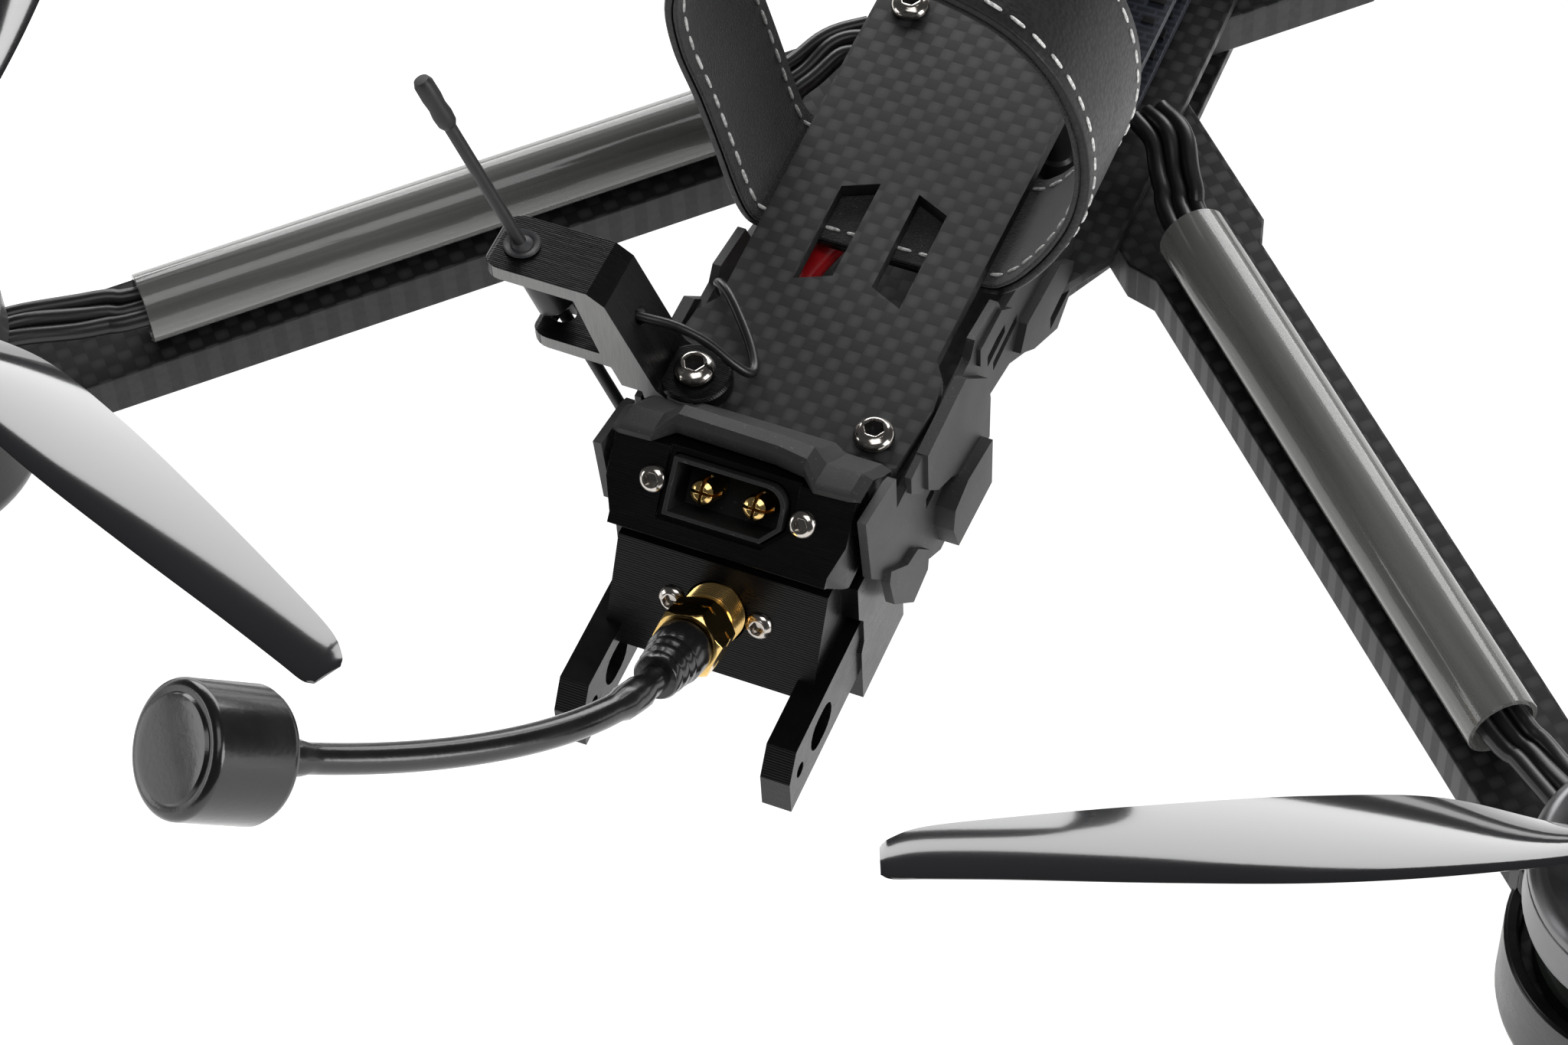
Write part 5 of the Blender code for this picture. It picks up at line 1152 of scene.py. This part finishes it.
def coilPattern():  # turns of enamelled wire round each tooth
    turns = []
    for i in range(5):
        out = 7.6 + i * 0.86 - 12.0
        w, low, high = 1.35 + 0.13 * i, 21.75, 27.45
        loop = [(out, -w, low + 0.4), (out, -w, high - 0.4), (out, 0, high), (out, w, high - 0.4), (out, w, low + 0.4),
                (out, 0, low), (out, -w, low + 0.4)]
        turns.append(hose("turn", smoothLine(loop, 3), 0.44, 2))
    return ring("coils", joined("coil", turns), motor["teeth"], 12.0, "copper")


def makeMotors():
    bell, seat, coils = bellPattern(), statorPattern(), coilPattern()
    magnet = flat("magnet", [(-0.45, -2.8), (0.4, -2.8), (0.4, 2.8), (-0.45, 2.8)], 21.3, 28.6)
    magnets = ring("magnets", eased(magnet, 0.1), motor["poles"], 14.72, "magnets")
    for name, (sx, sy) in corners.items():
        base = "motor_base_" + name
        shown(atMotor("bell_" + name, bell, sx, sy), "bell", "motor_alloy", "motor_bell_" + name, smooth=30.0)
        shown(atMotor("magnets_" + name, magnets, sx, sy), "magnets", "motor_alloy", "motor_bell_" + name)
        shown(atMotor("stator_" + name, seat, sx, sy), "stator", "motor_core", base, smooth=30.0)
        shown(atMotor("coils_" + name, coils, sx, sy), "copper", "motor_core", base, smooth=50.0)
    for pattern in (bell, seat, coils, magnets):
        bpy.data.objects.remove(pattern)


makeMotors()
print("motors made")

# ---- propellers and their nuts
prop = {"radius": 95.0, "hub": 6.8, "hubLow": 33.3, "hubHeight": 7.0, "plane": 3.6, "blades": 3, "bore": 2.8,
        "rest": (204, -23.6), "nutHeight": 5.4, "nutFlats": 8.0}
# share of the radius, chord, pitch in degrees, thickness, sweep of the middle
bladeStations = [(0.055, 7.0, 34.0, 3.4, 0.0), (0.14, 10.5, 30.0, 2.6, 0.2), (0.28, 16.4, 23.0, 2.2, -1.5),
                 (0.45, 16.4, 17.8, 1.8, -1.9), (0.65, 13.5, 13.5, 1.5, -2.2), (0.83, 10.4, 10.6, 1.2, -2.4),
                 (0.94, 8.5, 9.2, 1.0, -2.3), (0.985, 6.6, 8.7, 0.9, -1.7), (1.0, 4.4, 8.7, 0.7, -1.4)]


def bladeRings(steps=9):
    rows = [np.array(s) for s in bladeStations]
    ends = [2 * rows[0] - rows[1], *rows, 2 * rows[-1] - rows[-2]]
    found = []
    for a, b, c, d in zip(ends, ends[1:], ends[2:], ends[3:]):
        found += [curveAt(a, b, c, d, i / steps) for i in range(steps)]
    found.append(rows[-1])
    return found


def wingSection(count=11):  # a thin cambered section, from the leading edge over the top and back
    over, under = [], []
    for i in range(count):
        t = i / (count - 1)
        chordwise = 0.5 - 0.5 * math.cos(math.pi * t)
        thick = 1.9 * math.sqrt(chordwise) * (1 - chordwise) + 0.04
        camber = 0.5 * chordwise * (1 - chordwise)
        over.append((0.5 - chordwise, camber * 1.6 + thick * 0.55))
        under.append((0.5 - chordwise, camber * 1.6 - thick * 0.45))
    return over + under[-2:0:-1]


def makeBlade(spin, turn):
    work = bmesh.new()
    rings = []
    section = wingSection()
    for share, chord, pitch, thick, sweep in bladeRings():
        tilt = math.radians(pitch)
        ringNow = []
        for along, up in section:
            across = (along * chord * math.cos(tilt) - up * thick * 0.75 * math.sin(tilt) + sweep) * spin
            height = along * chord * math.sin(tilt) + up * thick * 0.75 * math.cos(tilt)
            spot = Vector((share * prop["radius"], across, height + prop["hubLow"] + prop["plane"])) * mm
            ringNow.append(work.verts.new(Matrix.Rotation(turn, 4, "Z") @ spot))
        rings.append(ringNow)
    for a, b in zip(rings, rings[1:]):
        for i in range(len(a)):
            j = (i + 1) % len(a)
            work.faces.new((a[i], a[j], b[j], b[i]))
    for end in (rings[0], rings[-1]):
        work.faces.new(end)
    return settled("blade", work)


def makePropeller(name, sx, sy):
    spin = 1 if sx * sy < 0 else -1
    inward = math.radians(prop["rest"][0] if sx > 0 else prop["rest"][1])
    rest = inward if sy < 0 else -inward
    low, high, r = prop["hubLow"], prop["hubLow"] + prop["hubHeight"], prop["hub"]
    hub = lathe("hub", [(prop["bore"], low), (r - 0.4, low), (r, low + 0.4), (r, high - 0.9), (r - 0.9, high),
                        (r - 2.0, high), (r - 2.3, high - 0.4), (prop["bore"], high - 0.4)], 56, closed=True)
    blades = [makeBlade(spin, rest + 2 * math.pi * i / prop["blades"]) for i in range(prop["blades"])]
    bore = peg("bore", prop["bore"], low - 1, high + 1, 40)
    pattern = carved(hub, join=blades, cut=[bore])
    shown(movedToMotor("blades_" + name, pattern, sx, sy), "blade", "propeller", "propeller_" + name, smooth=42.0)
    nutLow, nutHigh, reach = high + gap, high + gap + prop["nutHeight"], prop["nutFlats"] / math.sqrt(3)
    hexBody = flat("nut", hexagon(reach), nutLow, nutHigh - 1.3)
    collar = lathe("collar", [(0, nutLow + 1), (3.7, nutLow + 1), (3.7, nutHigh - 0.5), (3.3, nutHigh), (0, nutHigh)],
                   40)
    hole = peg("hole", prop["bore"], nutLow - 1, nutHigh + 1, 40)
    pattern = eased(carved(hexBody, join=[collar], cut=[hole]), 0.25, 2)
    shown(movedToMotor("nut_" + name, pattern, sx, sy), "blackAlloy", "black_alloy", "propeller_nut_" + name)


for name, (sx, sy) in corners.items():
    makePropeller(name, sx, sy)
print("propellers made")

# ---- feet
foot = {"inner": 16.6, "wall": 1.8, "rim": 14.0, "mouth": 10.7, "floor": 2.0, "low": -5.0}


def makeFoot(name, sx, sy):
    r, w, floor, rim = foot["inner"], foot["inner"] + foot["wall"], foot["floor"], foot["rim"]
    profile = [(0, floor), (r, floor), (r, rim - 0.3), (r + 0.3, rim), (w - 0.4, rim), (w, rim - 0.4), (w, 2)]
    profile += [(w - 8 + 8 * math.cos(a), 2.6 - 7.6 * math.sin(a)) for a in np.radians(range(15, 90, 12))]
    profile += [(w - 8, foot["low"]), (0, foot["low"])]
    cup = lathe("cup", profile, 72)
    turn = Matrix.Rotation(math.atan2(-sy, -sx), 4, "Z")
    half = foot["mouth"]
    mouth = flat("mouth", [(0, -half), (w + 2, -half), (w + 2, half), (0, half)], floor, rim + 1, place=turn)
    notches = []
    for side in (-1, 1):  # a small step either side of the mouth, as the clip-on cups have
        spot = [(r - 6, side * (half + 1.6)), (w + 2, side * (half + 1.6)), (w + 2, side * half), (r - 6, side * half)]
        notches.append(flat("notch", spot if side < 0 else spot[::-1], rim - 3.2, rim + 1, place=turn))
    pattern = eased(carved(cup, cut=[mouth, *notches]), 0.3, 2, 40)
    shown(movedToMotor("foot_" + name, pattern, sx, sy), "footPrinted", "foot", "motor_foot_" + name, smooth=30.0)


for name, (sx, sy) in corners.items():
    makeFoot(name, sx, sy)
print("feet made")

# ---- boards, leads
dressed("esc_board", "board", "board", 0.12)
dressed("flight_controller", "board", "board", 0.12)


def makeChips():
    spots = []
    for z, reach in ((16.1, 17.0), (23.0, 17.0)):
        for i in range(9):
            for j in range(9):
                x, y = -reach + i * reach / 4, -reach + j * reach / 4
                if max(abs(x), abs(y)) > 14.0 and not (abs(x) > 12.6 and abs(y) > 12.6):
                    spots.append(((x, y, z), (0, 0, 1)))
    chip = eased(flat("chip", [(-1.1, -0.7), (1.1, -0.7), (1.1, 0.7), (-1.1, 0.7)], -0.1, 0.8), 0.08)
    shown(copies("board_chips", chip, spots, "blackAlloy", 1.0, 0.25), "blackAlloy", "board", "esc_board")


makeChips()
# depth, height and how far each lead swings out from its place beside the middle
leadRoute = [(-111.0, 31.8, 0.0), (-108.0, 31.8, 0.0), (-104.8, 31.8, 0.2), (-98.0, 30.8, 2.2), (-90.0, 30.6, 4.2),
             (-82.0, 30.0, 5.2), (-74.0, 28.8, 5.0), (-62.0, 26.6, 3.2), (-50.0, 24.8, 1.0), (-34.0, 22.6, 0.0),
             (-26.0, 18.4, 0.0), (-19.6, 17.4, 0.0)]
lead = {"apart": 4.4, "radius": 2.2}
for side, name, finish, slot in ((-1, "red", "siliconeRed", "wire_red"), (1, "black", "silicone", "wire_black")):
    line = smoothLine([(side * (lead["apart"] + out), y, z) for y, z, out in leadRoute], 7)
    shown(hose("lead_" + name, line, lead["radius"], 5), finish, slot, "power_lead_" + name, smooth=60.0)
print("boards and leads made")

# ---- nose camera
eye = {"y": 82.0, "z": 24.0, "size": 19.0, "cut": 4.5, "lens": 6.0, "reach": 8.5, "half": 9.7, "cheekIn": 10.0,
       "cheekOut": 12.6}


def makeCamera():
    low, high = bay["low"], bay["high"]
    out, into = eye["cheekOut"], eye["cheekIn"]
    u = [(-out, 64.5), (out, 64.5), (out, 89), (into, 89), (into, 67.5), (-into, 67.5), (-into, 89), (-out, 89)]
    cradle = flat("cradle", u, low, high)
    pivots = [peg("pivot", 1.4, -20, 20, 24, standing((0, eye["y"], eye["z"]), (1, 0, 0)))]
    shown(eased(carved(cradle, cut=pivots), 0.5, 3), "printed", "printed", "camera_cradle")
    place = Matrix.Translation((0, eye["y"] * mm, eye["z"] * mm))
    half, cut = eye["size"] / 2, eye["cut"]
    section = [(-half, cut - half), (cut - half, -half), (half - cut, -half), (half, cut - half), (half, half - cut),
               (half - cut, half), (cut - half, half), (-half, half - cut)]
    body = eased(flat("camera_block", section, -eye["half"], eye["half"], place=place @ alongX), 0.5, 3)
    forward = place @ Matrix.Rotation(math.radians(-90), 4, "X")
    r, tip = eye["lens"], half + eye["reach"]
    barrel = [(0, half - 1), (r, half - 1), (r, half + 1.2), (r + 0.5, half + 1.6), (r + 0.5, half + 3.4),
              (r + 0.1, half + 3.7), (r + 0.2, half + 5.0), (r + 0.8, half + 6.0), (r + 1, tip - 0.5), (r + 0.6, tip),
              (r - 0.4, tip), (r - 0.7, tip - 0.6), (0, tip - 0.6)]
    tube = lathe("barrel", barrel, 64, forward)
    reach = out + gap
    pins = []
    for side in (-1, 1):
        head = [(0, 0), (1.0, 0), (1.0, reach - 8.6), (1.9, reach - 8.6), (2.0, reach - 8.4), (1.8, reach - 7.7),
                (0.9, reach - 7.4), (0, reach - 7.6)]
        head = [(r0, z + 8.6) for r0, z in head]
        pins.append(lathe("pin", head, 28, standing((0, eye["y"], eye["z"]), (side, 0, 0))))
    shown(joined("camera_housing", [body, tube, *pins]), "blackAlloy", "black_alloy", "camera_body", smooth=30.0)
    dome = [(0, tip - 0.62), (r - 0.8, tip - 0.62), (r - 1.2, tip - 0.3), (r * 0.5, tip - 0.05), (0, tip)]
    shown(lathe("camera_glass", dome, 56, forward), "lensGlass", "black_alloy", "camera_body", smooth=60.0)


makeCamera()
print("camera made")


# ---- floor
def makeFloor():
    lowest = cadBox[0][2] - studio["floorGap"] * mm
    size = studio["floorSize"] / 2
    mesh = bpy.data.meshes.new("floor")
    mesh.from_pydata([(-size, -size, lowest), (size, -size, lowest), (size, size, lowest), (-size, size, lowest)], [],
                     [(0, 1, 2, 3)])
    s = Shader("pale_floor", Emission_Strength=studio["floorGlow"])
    s.surface.inputs["Specular IOR Level"].default_value = 0.1
    cloud = s.noise(s.place(), 3.0)
    mesh.materials.append(s.finish(Base_Color=s.mix(cloud, (0.46, 0.46, 0.455), (0.5, 0.5, 0.495)),
                                   Emission_Color=s.mix(cloud, (0.97, 0.97, 0.965), (1.0, 1.0, 0.995)),
                                   Roughness=s.between(cloud, 0.7, 0.8)))
    link("floor", mesh)


makeFloor()
